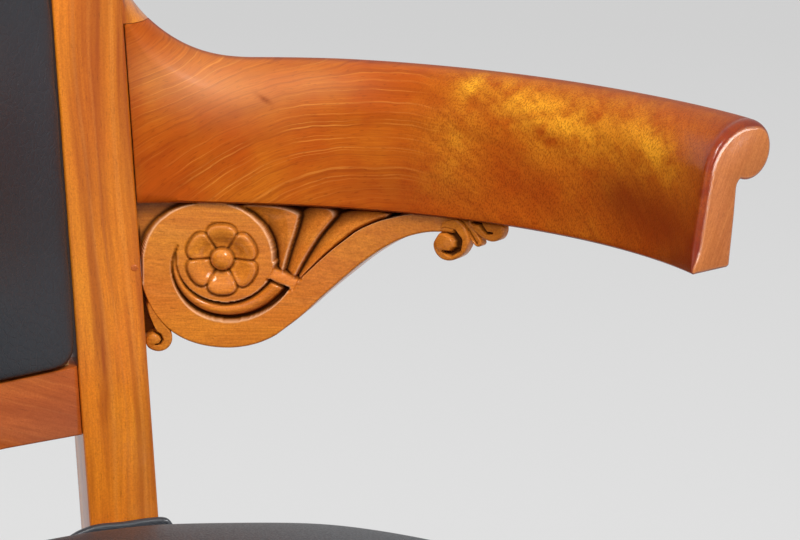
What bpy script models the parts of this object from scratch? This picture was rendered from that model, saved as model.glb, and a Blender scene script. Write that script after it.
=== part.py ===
"""Horseshoe desk armchair: bowed arms on carved scroll brackets, leather seat and back.

Metres, +Z up. The sitter faces -Y, and +X is the sitter's left. The origin is on the floor,
midway between the front toes and the rear heels.
"""
import math

import bmesh
import bpy
from mathutils import Vector

# Fits
GAP = 0.0003                    # clearance between touching pieces
BORE_GAP = 0.0003               # radial clearance round a dowel, peg or screw

# Stance
FOOT_REACH = 0.300              # front toes and rear heels, each from the middle
SEAT_RAIL_TOP = 0.385
SEAT_RAIL_HEIGHT = 0.058
SEAT_RAIL_THICKNESS = 0.024

# Horseshoe plan that both arms follow, measured at the arm's inner lower edge
TUB_CENTRE_Y = -0.037
TUB_RADIUS = 0.2955
STILE_BEARING = math.radians(48.0)   # where the horseshoe meets the stile

# Arm
ARM_UNDERSIDE = 0.600
ARM_HEIGHT = 0.0745
ARM_STEM = 0.0275
ARM_RUN = 0.376                 # length along the horseshoe
ARM_BLEND = 0.090               # run over which each end turns to its own cut
ARM_ROLL_REACH = 0.0405         # inner face to the middle of the roll
ARM_SHOULDER_RADIUS = 0.031
ARM_ROLL_RADIUS = 0.0155
ARM_BOARD = 0.030               # plain thickness where the arm meets the stile
ARM_BOARD_ROUND = 0.003
ARM_COVE_RADIUS = 0.062         # sweep from the arm's top up to the ear of the stile
ARM_COVE_RUN = 0.062
ARM_REAR_RISE = 0.0024          # the arm stands this much taller towards the stile
ARM_RISE_START = 0.100          # and loses it between these two runs
ARM_RISE_END = 0.300
EAR_JOINT = 0.097               # ear joint above the arm's underside

# Stile and rear leg
STILE_TURN = math.radians(35.0)
STILE_WIDTH = 0.039
STILE_DEPTH = 0.036
STILE_TOP = 0.780
STILE_TOP_WIDTH = 0.036
STILE_TOP_DEPTH = 0.026
STILE_TAPER_START = 0.735
RAKE = 0.085                    # backward lean, metres per metre of height
HEEL_WIDTH = 0.028
HEEL_DEPTH = 0.026
EDGE_CHAMFER = 0.0015

# Front leg
FRONT_LEG_INSET = 0.028         # leg's middle, in from the seat's widest half
FRONT_LEG_SETBACK = 0.075       # leg's middle, behind the bowed front
FRONT_LEG_TURN = math.radians(-22.0)
FRONT_LEG_SIZE = 0.042
TOE_SIZE = 0.027

# Seat plan
SEAT_FLARE = 0.0523             # how far the sides bow out beyond the stiles
SEAT_WIDEST_Y = -0.060
SEAT_FRONT_Y = -0.275
FRONT_BOW = 0.0571              # how far the front rail bows out between the legs
REAR_RAIL_OFFSET = 0.002        # rear rail's middle, ahead of the stile's middle

# Tenons
TENON_THICKNESS = 0.008
TENON_HEIGHT = 0.020
TENON_DEPTH = 0.016
TENON_INSET = 0.006             # from the rail's edge to its tenon
TENON_ROOT = 0.012              # length of tenon inside its own rail
STAY_TENON_HEIGHT = 0.026

# Back
STAY_RAIL_BOTTOM = 0.470
STAY_RAIL_HEIGHT = 0.0395
STAY_RAIL_THICKNESS = 0.022
STAY_RAIL_SETBACK = 0.002
CREST_HEIGHT = 0.085
CREST_END_HEIGHT = 0.066
CREST_STEM = 0.041
CREST_HALF_LENGTH = 0.238
CREST_BOW = 0.014               # how far the middle lies behind the ends
CREST_ROLL_REACH = 0.044
CREST_SHOULDER_RADIUS = 0.030
CREST_ROLL_RADIUS = 0.0145
CREST_TENON_HEIGHT = 0.022
CREST_TENON_SIZE = 0.014
BACK_FRAME_DEPTH = 0.014
BACK_FRAME_WIDTH = 0.030
BACK_FRAME_SETBACK = 0.0075
BACK_PAD_CORNER = 0.010
BACK_PAD_CROWN = 0.014
BACK_PAD_EDGE = 0.009           # height of the pad's rolled edge
BACK_PAD_ROLL = 0.0045          # how far the rolled edge draws in at the top
BACK_PAD_FOOT = 0.0030          # how far the side draws in at its foot
BACK_RIM_RETURN = 0.007
STUFFING_GAP = 0.0008           # room between the seat's leather and its stuffing
STUFFING_INSET = 0.020          # where the underside of a stuffing turns flat
BACK_COVER = 0.002

# Seat upholstery
WEBBING_WIDTH = 0.045
WEBBING_THICKNESS = 0.0015
WEAVE_STEP = 0.0001             # crossing straps are this much thinner on each face
WEBBING_LAP = 0.005             # how far a strap lies on its rail
CANVAS_THICKNESS = 0.001
LEATHER = 0.0018
SEAT_OVERHANG = 0.004
SEAT_EDGE_HEIGHT = 0.0535       # rolled edge above the rails
SEAT_CROWN = 0.030
SEAT_DIP = 0.0225               # how far the edge sinks in front of each stile
SEAT_DIP_REACH = 0.100
SEAT_ROLL = 0.0075              # how far the rolled edge draws in at the top
SEAT_ROLL_DROP = 0.0125         # how far down the rolled edge comes
SEAT_FOOT = 0.004               # how far the side draws in at its foot
SEAT_RIM_RETURN = 0.007
SEAT_STILE_GAP = 0.0012
COLLAR_RADIUS = 0.0030
COLLAR_SINK = -0.0002           # how far the collar's middle lies below the seat's edge
COLLAR_OVERLAP = 0.0095         # how far the collar runs past each side of the stile

# Fasteners
DOWEL_RADIUS = 0.0045
DOWEL_LENGTH = 0.036
BRACKET_DOWEL_RADIUS = 0.0035
BRACKET_DOWEL_LENGTH = 0.026
PEG_RADIUS = 0.0021
PEG_LENGTH = 0.020
PEG_DROP = 0.036
PEG_EDGE = 0.0038
SCREW_RADIUS = 0.0018
SCREW_HEAD_RADIUS = 0.0038
SCREW_HEAD = 0.0024
SCREW_LENGTH = 0.042
CORNER_BLOCK_LEG = 0.058
CORNER_BLOCK_HEIGHT = 0.034

# Carved bracket, laid out flat: run from the stile, and drop below the arm
BRACKET_SETBACK = 0.004
BRACKET_THICKNESS = 0.020
BRACKET_RELIEF = 0.005
GROUND_INSET = 0.0012           # the ground lies this far inside the strap's edge
ROSETTE_RUN = 0.047
ROSETTE_DROP = 0.0330
ROSETTE_RADIUS = 0.0200
ROSETTE_RISE = 0.0030
ROSETTE_PETALS = 6
ROSETTE_BOSS_RADIUS = 0.0062
DISC_RADIUS = 0.0295
SCROLL_TOP_RADIUS = 0.0315
SCROLL_BOTTOM_RADIUS = 0.0500
STRAP_WIDTH = 0.0155
STRAP_END_WIDTH = 0.0090
STRAP_END_RUN = 0.174
STRAP_END_DROP = 0.009
CURL_RUN = 0.1790
CURL_DROP = 0.0150
CURL_RADIUS = 0.0090
LEAF_RUN = 0.2010
LEAF_DROP = 0.0062
LEAF_RADIUS = 0.0058
TAIL_RUN = 0.0122
TAIL_DROP = 0.0785
TAIL_RADIUS = 0.0074
TAIL_STEM_TOP = 0.050
FLUTE_COUNT = 3
FLUTE_ROOT_RUN = 0.081
FLUTE_ROOT_DROP = 0.040
FLUTE_TIP_RUN = 0.083
FLUTE_TIP_STEP = 0.0225
FLUTE_ROOT_RADIUS = 0.0028
FLUTE_TIP_RADIUS = 0.0095
SOFT_SIDES = 44                 # facets round a cushion
BEND_STEP = 0.021               # the flat bracket is scored this often before it is bent

# Derived plan directions of the turned stile
ALONG = Vector((math.cos(STILE_TURN), -math.sin(STILE_TURN), 0.0))
FACE = Vector((-math.sin(STILE_TURN), -math.cos(STILE_TURN), 0.0))
SIDE_SHEAR = RAKE * math.sin(STILE_TURN)
FACE_LEAN = RAKE * math.cos(STILE_TURN)


def clear_scene():
    """Remove what the file already holds."""
    for old in list(bpy.data.objects):
        bpy.data.objects.remove(old)


def make_material(name, colour, roughness, metallic=0.0):
    """A plain Principled finish."""
    material = bpy.data.materials.new(name)
    material.use_nodes = True
    shader = material.node_tree.nodes["Principled BSDF"]
    shader.inputs["Base Color"].default_value = (*colour, 1.0)
    shader.inputs["Roughness"].default_value = roughness
    shader.inputs["Metallic"].default_value = metallic
    return material


def finish(name, bm, material):
    """Turn a bmesh into a named, smooth shaded object with its faces outwards."""
    bm.normal_update()
    bmesh.ops.triangulate(bm, faces=[face for face in bm.faces if len(face.verts) > 4])
    bmesh.ops.recalc_face_normals(bm, faces=bm.faces)
    mesh = bpy.data.meshes.new(name)
    bm.to_mesh(mesh)
    bm.free()
    mesh.materials.append(material)
    mesh.shade_smooth()
    mesh.set_sharp_from_angle(angle=math.radians(38.0))
    piece = bpy.data.objects.new(name, mesh)
    bpy.context.collection.objects.link(piece)
    return piece


def add_loft(bm, rings):
    """Skin a row of equal rings and close both ends."""
    loops = [[bm.verts.new(point) for point in ring] for ring in rings]
    count = len(rings[0])
    for first, second in zip(loops, loops[1:]):
        for i in range(count):
            j = (i + 1) % count
            bm.faces.new((first[i], first[j], second[j], second[i]))
    bm.faces.new(list(reversed(loops[0])))
    bm.faces.new(loops[-1])


def loft(name, rings, material):
    """One lofted piece."""
    bm = bmesh.new()
    add_loft(bm, rings)
    return finish(name, bm, material)


def combine(target, tool, operation):
    """Apply a Boolean with a tool object and remove the tool."""
    modifier = target.modifiers.new(operation, "BOOLEAN")
    modifier.operation = operation
    modifier.solver = "EXACT"
    modifier.object = tool
    graph = bpy.context.evaluated_depsgraph_get()
    result = bpy.data.meshes.new_from_object(target.evaluated_get(graph))
    target.modifiers.clear()
    target.data = result
    bpy.data.objects.remove(tool)


def cut(target, rings, material):
    """Cut a lofted shape out of a piece."""
    combine(target, loft("cutter", rings, material), "DIFFERENCE")


def join(target, rings, material):
    """Fuse a lofted shape to a piece."""
    combine(target, loft("addition", rings, material), "UNION")


def mirrored(source, name):
    """The matching piece on the sitter's right."""
    bm = bmesh.new()
    bm.from_mesh(source.data)
    for vert in bm.verts:
        vert.co.x = -vert.co.x
    bmesh.ops.reverse_faces(bm, faces=bm.faces)
    mesh = bpy.data.meshes.new(name)
    bm.to_mesh(mesh)
    bm.free()
    for material in source.data.materials:
        mesh.materials.append(material)
    piece = bpy.data.objects.new(name, mesh)
    bpy.context.collection.objects.link(piece)
    return piece


def smooth(value):
    """Ease from 0 to 1."""
    value = min(max(value, 0.0), 1.0)
    return value * value * (3.0 - 2.0 * value)


def mix(first, second, share):
    """Straight blend of two numbers."""
    return first + (second - first) * share


def arc(centre, radius, start, end, steps):
    """Points of an arc in a plane, both ends included."""
    angles = [mix(start, end, i / steps) for i in range(steps + 1)]
    return [(centre[0] + radius * math.cos(a), centre[1] + radius * math.sin(a)) for a in angles]


def bezier(p0, p1, p2, p3, steps):
    """Points of a cubic curve in a plane, both ends included."""
    points = []
    for i in range(steps + 1):
        t = i / steps
        u = 1.0 - t
        weights = (u * u * u, 3.0 * u * u * t, 3.0 * u * t * t, t * t * t)
        x = sum(w * p[0] for w, p in zip(weights, (p0, p1, p2, p3)))
        y = sum(w * p[1] for w, p in zip(weights, (p0, p1, p2, p3)))
        points.append((x, y))
    return points


def rod(start, end, radius, sides=12):
    """Rings of a round bar."""
    axis = (end - start).normalized()
    side = axis.orthogonal().normalized()
    other = axis.cross(side)
    turns = [2.0 * math.pi * i / sides for i in range(sides)]
    section = [side * (radius * math.cos(a)) + other * (radius * math.sin(a)) for a in turns]
    return [[start + offset for offset in section], [end + offset for offset in section]]


def bar(start, end, thickness, low, high):
    """Rings of a level rectangular bar between two plan points."""
    axis = Vector((end.x - start.x, end.y - start.y, 0.0)).normalized()
    side = Vector((-axis.y, axis.x, 0.0)) * (thickness / 2.0)
    rings = []
    for point in (start, end):
        plan = Vector((point.x, point.y, 0.0))
        rings.append([plan - side + Vector((0, 0, low)), plan + side + Vector((0, 0, low)),
                      plan + side + Vector((0, 0, high)), plan - side + Vector((0, 0, high))])
    return rings


def turned_ring(centre, along, face, width, depth, chamfer):
    """A chamfered rectangle in plan, turned to its own directions."""
    half_w = width / 2.0
    half_d = depth / 2.0
    corners = ((-1, -1), (1, -1), (1, 1), (-1, 1))
    ring = []
    for index, (i, j) in enumerate(corners):
        near_w = along * (i * (half_w - chamfer)) + face * (j * half_d)
        near_d = along * (i * half_w) + face * (j * (half_d - chamfer))
        pair = (near_d, near_w) if index % 2 == 0 else (near_w, near_d)
        ring.extend(centre + offset for offset in pair)
    return ring


# The horseshoe that carries the arms

def tub_point(run):
    """Plan point on the horseshoe, a run away from the stile."""
    bearing = STILE_BEARING - run / TUB_RADIUS
    x = TUB_RADIUS * math.cos(bearing)
    y = TUB_CENTRE_Y + TUB_RADIUS * math.sin(bearing)
    return Vector((x, y, 0.0))


def arm_point(run, out, rise):
    """Point of the arm: along the horseshoe, outwards from its inner face, above its underside."""
    rear = 1.0 - smooth(run / ARM_BLEND)
    front = smooth((run - ARM_RUN) / ARM_BLEND + 1.0)
    end_bearing = STILE_BEARING - ARM_RUN / TUB_RADIUS
    skew = rear * (math.pi / 2.0 - STILE_TURN - STILE_BEARING) - front * end_bearing
    heading = STILE_BEARING - run / TUB_RADIUS + skew
    outward = Vector((math.cos(heading), math.sin(heading), 0.0)) / math.cos(skew)
    base = tub_point(run - SIDE_SHEAR * rise * rear)
    return base + outward * out + Vector((0.0, 0.0, ARM_UNDERSIDE + rise))


def roll_profile(height, stem, reach, shoulder, roll, steps):
    """Section of a rail whose top rolls over outwards: inner face, shoulder, roll and neck."""
    centre = (reach, height - shoulder)
    distance = math.hypot(*centre)
    lean = math.atan2(centre[1], centre[0]) + math.asin(shoulder / distance)
    start = math.pi - (math.pi / 2.0 - lean)
    points = [(0.0, 0.0)]
    points += arc(centre, shoulder, start, math.pi / 2.0, steps)
    points += arc((reach, height - roll), roll, math.pi / 2.0, -1.75, 2 * steps)[1:]
    neck = height - 2.0 * roll - 0.10 * roll
    points.append((reach - 0.42 * roll, neck))
    points.append((mix(stem, reach - 0.42 * roll, 0.45), 0.55 * neck))
    points.append((stem, 0.0))
    return points


def board_profile(height, steps):
    """Plain section at the stile, point for point with roll_profile."""
    soft = ARM_BOARD_ROUND
    middle = ARM_BOARD / 2.0

    def lean(out, rise):
        return (out + FACE_LEAN * rise, rise)

    points = [(0.0, 0.0)]
    for i in range(steps + 1):
        share = i / steps
        out = mix(0.0, middle, max(0.0, 2.0 * share - 1.0)) + soft * min(1.0, 2.0 * share) * 0.5
        rise = height - soft * (1.0 - min(1.0, 2.0 * share))
        points.append(lean(out, rise))
    for i in range(1, 2 * steps + 1):
        share = i / (2 * steps)
        out = mix(middle + soft * 0.5, ARM_BOARD, min(1.0, 3.0 * share))
        rise = mix(height, 0.62 * height, max(0.0, (3.0 * share - 1.0) / 2.0))
        points.append(lean(out, rise))
    points.append(lean(ARM_BOARD, 0.57 * height))
    points.append(lean(ARM_BOARD, 0.30 * height))
    points.append((ARM_BOARD, 0.0))
    return points


def arm_height(run):
    """Height of the rolled arm, a little taller towards the stile."""
    share = smooth((run - ARM_RISE_START) / (ARM_RISE_END - ARM_RISE_START))
    return ARM_HEIGHT + ARM_REAR_RISE * (1.0 - share)


def arm_top(run):
    """Height of the arm's top: level, sweeping up in a cove at the stile."""
    if run >= ARM_COVE_RUN:
        return arm_height(run)
    reach = min(ARM_COVE_RUN - run, 0.999 * ARM_COVE_RADIUS)
    rise = ARM_COVE_RADIUS - math.sqrt(ARM_COVE_RADIUS ** 2 - reach ** 2)
    return min(arm_height(run) + rise, EAR_JOINT)


def ear_run():
    """Run at which the cove reaches the ear joint."""
    drop = ARM_COVE_RADIUS - (EAR_JOINT - arm_height(0.0))
    return ARM_COVE_RUN - math.sqrt(ARM_COVE_RADIUS ** 2 - drop ** 2)


def build_arm(material):
    """Left arm, bored for its dowels to the stile and to the bracket."""
    steps = 5
    near = [GAP + (ear_run() - GAP) * share for share in (0.0, 1.0)]
    cove = [mix(ear_run(), ARM_COVE_RUN, share) for share in (0.22, 0.45, 0.7, 1.0)]
    count = 15
    rest = [mix(ARM_COVE_RUN, ARM_RUN, (i + 1) / count) for i in range(count)]
    rings = []
    for run in near + cove + rest:
        full = roll_profile(arm_height(run), ARM_STEM, ARM_ROLL_REACH, ARM_SHOULDER_RADIUS,
                            ARM_ROLL_RADIUS, steps)
        plain = board_profile(arm_top(run), steps)
        share = smooth((run - ear_run()) / (1.5 * ARM_COVE_RUN))
        section = [(mix(a[0], b[0], share), mix(a[1], b[1], share)) for a, b in zip(plain, full)]
        rings.append([arm_point(run, out, rise) for out, rise in section])
    arm = loft("arm_left", rings, material)
    for start, end in arm_dowel_lines():
        cut(arm, bore(start, end, DOWEL_RADIUS), material)
    for start, end in bracket_dowel_lines():
        cut(arm, bore(start, end, BRACKET_DOWEL_RADIUS), material)
    return arm


def bore(start, end, radius):
    """Rings of the hole for a round bar."""
    extra = (end - start).normalized() * GAP
    return rod(start - extra, end + extra, radius + BORE_GAP)


def arm_dowel_lines():
    """Centre lines of the two dowels from the stile into the arm."""
    half = ALONG * (DOWEL_LENGTH / 2.0)
    rises = (0.30 * ARM_HEIGHT, 0.80 * ARM_HEIGHT)
    seats = [arm_point(0.0, ARM_BOARD / 2.0 + FACE_LEAN * rise, rise) for rise in rises]
    return [(seat - half, seat + half) for seat in seats]


def bracket_dowel_lines():
    """Centre lines of the two upright dowels from the bracket into the arm."""
    half = Vector((0.0, 0.0, BRACKET_DOWEL_LENGTH / 2.0))
    out = BRACKET_SETBACK + 0.6 * BRACKET_THICKNESS
    seats = [arm_point(run, out, 0.0) for run in (ROSETTE_RUN, 2.1 * ROSETTE_RUN)]
    return [(seat - half, seat + half) for seat in seats]


# Stile and rear leg

def stile_section(z):
    """Width and depth of the stile at a height."""
    if z <= SEAT_RAIL_TOP:
        share = smooth(z / (SEAT_RAIL_TOP - SEAT_RAIL_HEIGHT))
        return mix(HEEL_WIDTH, STILE_WIDTH, share), mix(HEEL_DEPTH, STILE_DEPTH, share)
    share = max(0.0, (z - STILE_TAPER_START) / (STILE_TOP - STILE_TAPER_START))
    return mix(STILE_WIDTH, STILE_TOP_WIDTH, share), mix(STILE_DEPTH, STILE_TOP_DEPTH, share)


def stile_centre(z):
    """Centre of the stile at a height: raked above the seat, a sabre sweep below it."""
    corner = tub_point(0.0)
    centre = corner - ALONG * (STILE_WIDTH / 2.0) - FACE * (STILE_DEPTH / 2.0)
    heel = (HEEL_WIDTH * abs(ALONG.y) + HEEL_DEPTH * abs(FACE.y)) / 2.0
    sweep = FOOT_REACH - heel - (centre.y - RAKE * ARM_UNDERSIDE)
    below = max(0.0, (SEAT_RAIL_TOP - z) / SEAT_RAIL_TOP)
    y = centre.y + RAKE * (z - ARM_UNDERSIDE) + sweep * below * below
    return Vector((centre.x, y, z))


def stile_rings(grow):
    """Rings of the stile and rear leg, swollen by a clearance when used as a cutter."""
    leg = [i / 7.0 * SEAT_RAIL_TOP for i in range(8)]
    upper = [mix(SEAT_RAIL_TOP, STILE_TAPER_START, share) for share in (0.5, 1.0)]
    rings = []
    for z in leg + upper + [STILE_TOP]:
        width, depth = stile_section(z)
        chamfer = EDGE_CHAMFER
        rings.append(turned_ring(stile_centre(z), ALONG, FACE, width + 2 * grow,
                                 depth + 2 * grow, chamfer))
    return rings


def ear_rings():
    """Rings of the ear that carries the arm's cove on up to the stile."""
    root = -STILE_WIDTH / 3.0
    centre = (ARM_COVE_RUN, arm_height(0.0) + ARM_COVE_RADIUS)
    low = EAR_JOINT + GAP
    start = math.pi + math.asin((centre[1] - low) / ARM_COVE_RADIUS)
    outline = [(root, low)] + arc(centre, ARM_COVE_RADIUS, start, math.pi + 0.05, 5)
    outline.append((root, outline[-1][1]))
    rings = []
    for out in (0.0, ARM_BOARD):
        rings.append([arm_point(run, out + FACE_LEAN * rise, rise) for run, rise in outline])
    return rings


def crest_tenon(grow):
    """Rings of the tenon on top of the stile."""
    low = stile_centre(STILE_TOP - CREST_TENON_HEIGHT)
    high = stile_centre(STILE_TOP)
    high.z = STILE_TOP + CREST_TENON_HEIGHT + grow
    high.y = high.y + RAKE * CREST_TENON_HEIGHT
    size = CREST_TENON_SIZE + 2 * grow
    return [turned_ring(centre, ALONG, FACE, size, size, EDGE_CHAMFER) for centre in (low, high)]


def peg_line():
    """Centre line of the peg in the stile's face beside the bracket."""
    z = ARM_UNDERSIDE - PEG_DROP
    width, depth = stile_section(z)
    mouth = stile_centre(z) + ALONG * (width / 2.0 - PEG_EDGE) + FACE * (depth / 2.0)
    return mouth - FACE * PEG_LENGTH, mouth


def build_stile(material):
    """Left stile with its ear, tenon, mortises and bores."""
    stile = loft("rear_stile_left", stile_rings(0.0), material)
    join(stile, ear_rings(), material)
    join(stile, crest_tenon(0.0), material)
    for tenon in (stay_tenon, rear_rail_tenon, side_rail_rear_tenon):
        cut(stile, tenon(GAP), material)
    for start, end in arm_dowel_lines():
        cut(stile, bore(start, end, DOWEL_RADIUS), material)
    start, end = peg_line()
    cut(stile, rod(start - (end - start).normalized() * GAP, end + (end - start), PEG_RADIUS + BORE_GAP),
        material)
    return stile


# Places in the seat's plan that follow from the stiles

def seat_rear():
    """Rear corner of the seat, at the stile's outer front corner."""
    corner = tub_point(0.0)
    return Vector((corner.x, corner.y + RAKE * (SEAT_RAIL_TOP - ARM_UNDERSIDE), 0.0))


def seat_widest():
    """Half the seat's width where its sides bow out furthest."""
    return seat_rear().x + SEAT_FLARE


def rear_rail_y():
    """Middle of the rear rail, front to back."""
    return stile_centre(SEAT_RAIL_TOP).y - REAR_RAIL_OFFSET


def front_leg_x():
    """Middle of the left front leg, across the chair."""
    return seat_widest() - FRONT_LEG_INSET


def front_leg_y():
    """Middle of the front legs, front to back."""
    return SEAT_FRONT_Y + FRONT_LEG_SETBACK


def front_bow_radius():
    """Radius of the bowed front."""
    return (front_leg_x() ** 2 + FRONT_BOW ** 2) / (2.0 * FRONT_BOW)


# Front leg

def front_leg_axes():
    """Plan directions of the front leg: across it, and the way its sabre sweeps."""
    along = Vector((math.cos(FRONT_LEG_TURN), -math.sin(FRONT_LEG_TURN), 0.0))
    face = Vector((-math.sin(FRONT_LEG_TURN), -math.cos(FRONT_LEG_TURN), 0.0))
    return along, face


def front_leg_rings(grow):
    """Rings of the left front leg."""
    along, face = front_leg_axes()
    toe = TOE_SIZE * (abs(along.y) + abs(face.y)) / 2.0
    sweep = (FOOT_REACH - toe + front_leg_y()) / abs(face.y)
    knee = SEAT_RAIL_TOP - SEAT_RAIL_HEIGHT
    levels = [i / 7.0 * knee for i in range(8)] + [SEAT_RAIL_TOP + grow]
    rings = []
    for z in levels:
        below = max(0.0, 1.0 - z / knee)
        size = mix(TOE_SIZE, FRONT_LEG_SIZE, smooth(z / knee)) + 2 * grow
        centre = Vector((front_leg_x(), front_leg_y(), z)) + face * (sweep * below * below)
        rings.append(turned_ring(centre, along, face, size, size, EDGE_CHAMFER))
    return rings


def build_front_leg(material):
    """Left front leg with its two mortises."""
    leg = loft("front_leg_left", front_leg_rings(0.0), material)
    cut(leg, side_rail_front_tenon(GAP), material)
    cut(leg, front_rail_tenon(GAP), material)
    return leg


# Seat frame

def side_circle():
    """Centre x and radius of the bowed side of the seat."""
    sag = seat_widest() - seat_rear().x
    half = seat_rear().y - SEAT_WIDEST_Y
    radius = (half * half + sag * sag) / (2.0 * sag)
    return seat_widest() - radius, radius


def side_x(y, inset):
    """X of the bowed side at a depth, set in from the outer face."""
    centre_x, radius = side_circle()
    return centre_x + math.sqrt((radius - inset) ** 2 - (y - SEAT_WIDEST_Y) ** 2)


def front_y(x, inset):
    """Y of the bowed front, set in from the outer face."""
    radius = front_bow_radius() - inset
    return SEAT_FRONT_Y + front_bow_radius() - math.sqrt(radius ** 2 - x * x)


def side_rail_mid(y):
    """Plan point in the middle of the side rail."""
    return Vector((side_x(y, SEAT_RAIL_THICKNESS / 2.0), y, 0.0))


def front_rail_mid(x):
    """Plan point in the middle of the front rail."""
    return Vector((x, front_y(x, SEAT_RAIL_THICKNESS / 2.0), 0.0))


def side_rail_rings(grow):
    """Rings of the left side rail, its ends running inside the legs."""
    rear = stile_centre(SEAT_RAIL_TOP).y - STILE_DEPTH / 4.0
    low = SEAT_RAIL_TOP - SEAT_RAIL_HEIGHT - grow
    high = SEAT_RAIL_TOP + grow
    rings = []
    for i in range(9):
        y = mix(rear, front_leg_y(), i / 8.0)
        outer = side_x(y, -grow)
        inner = side_x(y, SEAT_RAIL_THICKNESS + grow)
        corners = ((outer, low), (inner, low), (inner, high), (outer, high))
        rings.append([Vector((x, y, z)) for x, z in corners])
    return rings


def front_rail_rings(grow):
    """Rings of the front rail, its ends running inside the legs."""
    low = SEAT_RAIL_TOP - SEAT_RAIL_HEIGHT - grow
    high = SEAT_RAIL_TOP + grow
    rings = []
    for i in range(13):
        x = mix(-front_leg_x(), front_leg_x(), i / 12.0)
        outer = front_y(x, -grow)
        inner = front_y(x, SEAT_RAIL_THICKNESS + grow)
        corners = ((outer, low), (inner, low), (inner, high), (outer, high))
        rings.append([Vector((x, y, z)) for y, z in corners])
    return rings


def rear_rail_rings(grow):
    """Rings of the straight rear rail."""
    end = stile_centre(SEAT_RAIL_TOP).x - STILE_WIDTH / 4.0
    start = Vector((-end, rear_rail_y(), 0.0))
    return bar(start, Vector((end, rear_rail_y(), 0.0)), SEAT_RAIL_THICKNESS + 2 * grow,
               SEAT_RAIL_TOP - SEAT_RAIL_HEIGHT - grow, SEAT_RAIL_TOP + grow)


def tenon_bar(root, tip, low, height, grow):
    """Rings of a tenon, or of its mortise when it is grown."""
    extra = (tip - root).normalized() * grow
    return bar(root, tip + extra, TENON_THICKNESS + 2 * grow, low - grow, low + height + grow)


def low_tenon():
    """Level of the lower tenons in a leg."""
    return SEAT_RAIL_TOP - SEAT_RAIL_HEIGHT + TENON_INSET


def high_tenon():
    """Level of the upper tenons in a leg."""
    return SEAT_RAIL_TOP - TENON_INSET - TENON_HEIGHT


def side_rail_rear_tenon(grow):
    """Tenon from the side rail into the stile's face."""
    tip = stile_centre(SEAT_RAIL_TOP) + FACE * (STILE_DEPTH / 2.0 - TENON_DEPTH) - ALONG * TENON_INSET
    root = side_rail_mid(tip.y - TENON_DEPTH - 2 * TENON_ROOT)
    return tenon_bar(root, Vector((tip.x, tip.y, 0.0)), high_tenon(), TENON_HEIGHT, grow)


def side_rail_front_tenon(grow):
    """Tenon from the side rail into the front leg."""
    tip = side_rail_mid(front_leg_y() + FRONT_LEG_SIZE / 2.0 - TENON_DEPTH)
    root = side_rail_mid(tip.y + TENON_DEPTH + TENON_ROOT)
    return tenon_bar(root, tip, high_tenon(), TENON_HEIGHT, grow)


def front_rail_tenon(grow):
    """Tenon from the front rail into the left front leg."""
    tip = front_rail_mid(front_leg_x() - FRONT_LEG_SIZE / 2.0 + TENON_DEPTH)
    root = front_rail_mid(tip.x - TENON_DEPTH - TENON_ROOT)
    return tenon_bar(root, tip, low_tenon(), TENON_HEIGHT, grow)


def rear_rail_tenon(grow):
    """Tenon from the rear rail into the left stile."""
    face = stile_centre(SEAT_RAIL_TOP).x - STILE_WIDTH / 2.0
    tip = Vector((face + TENON_DEPTH, rear_rail_y(), 0.0))
    root = Vector((tip.x - TENON_DEPTH - TENON_ROOT, rear_rail_y(), 0.0))
    return tenon_bar(root, tip, low_tenon(), TENON_HEIGHT, grow)


def flip(rings):
    """The same rings on the sitter's right."""
    return [[Vector((-p.x, p.y, p.z)) for p in ring] for ring in rings]


def build_side_rail(material):
    """Left side rail, shouldered against both legs."""
    rail = loft("seat_rail_left", side_rail_rings(0.0), material)
    cut(rail, stile_rings(GAP), material)
    cut(rail, rear_rail_rings(GAP), material)
    cut(rail, front_leg_rings(GAP), material)
    join(rail, side_rail_rear_tenon(0.0), material)
    join(rail, side_rail_front_tenon(0.0), material)
    return rail


def build_cross_rail(name, rings, leg_rings, tenon, material):
    """A rail between a left and a right leg, with a tenon at each end."""
    rail = loft(name, rings, material)
    for side in (leg_rings, flip(leg_rings)):
        cut(rail, side, material)
    join(rail, tenon, material)
    join(rail, flip(tenon), material)
    return rail


# Corner blocks

def corner_spots():
    """Corner of the seat frame, and the two ways along its rails, for front and rear."""
    front = Vector((front_leg_x(), front_leg_y(), 0.0))
    rear = Vector((seat_rear().x - SEAT_RAIL_THICKNESS, rear_rail_y() - SEAT_RAIL_THICKNESS / 2.0, 0.0))
    return {
        "front": (front, Vector((-1.0, -0.18, 0.0)), Vector((0.10, 1.0, 0.0))),
        "rear": (rear, Vector((-1.0, 0.0, 0.0)), Vector((0.22, -1.0, 0.0))),
    }


def block_rings(spot):
    """Rings of a three-cornered block that is larger than its corner."""
    corner, first, second = spot
    low = SEAT_RAIL_TOP - 0.82 * SEAT_RAIL_HEIGHT
    ends = [corner + way.normalized() * (CORNER_BLOCK_LEG + FRONT_LEG_SIZE / 2.0)
            for way in (first, second)]
    plan = [corner, ends[0], ends[1]]
    lift = Vector((0.0, 0.0, 1.0))
    return [[p + lift * z for p in plan] for z in (low, low + CORNER_BLOCK_HEIGHT)]


def block_screws(spot):
    """Start and end of the two screws that go through a block into its rails."""
    corner, first, second = spot
    first = first.normalized()
    second = second.normalized()
    z = SEAT_RAIL_TOP - 0.82 * SEAT_RAIL_HEIGHT + CORNER_BLOCK_HEIGHT / 2.0
    reach = CORNER_BLOCK_LEG + FRONT_LEG_SIZE / 2.0
    middle = corner + (first + second) * (reach / 2.0)
    lines = []
    for way, other in ((first, second), (second, first)):
        head = middle + way * (0.20 * reach) - other * (0.20 * reach)
        head = Vector((head.x, head.y, z))
        lines.append((head, head - other * SCREW_LENGTH))
    return lines


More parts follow.
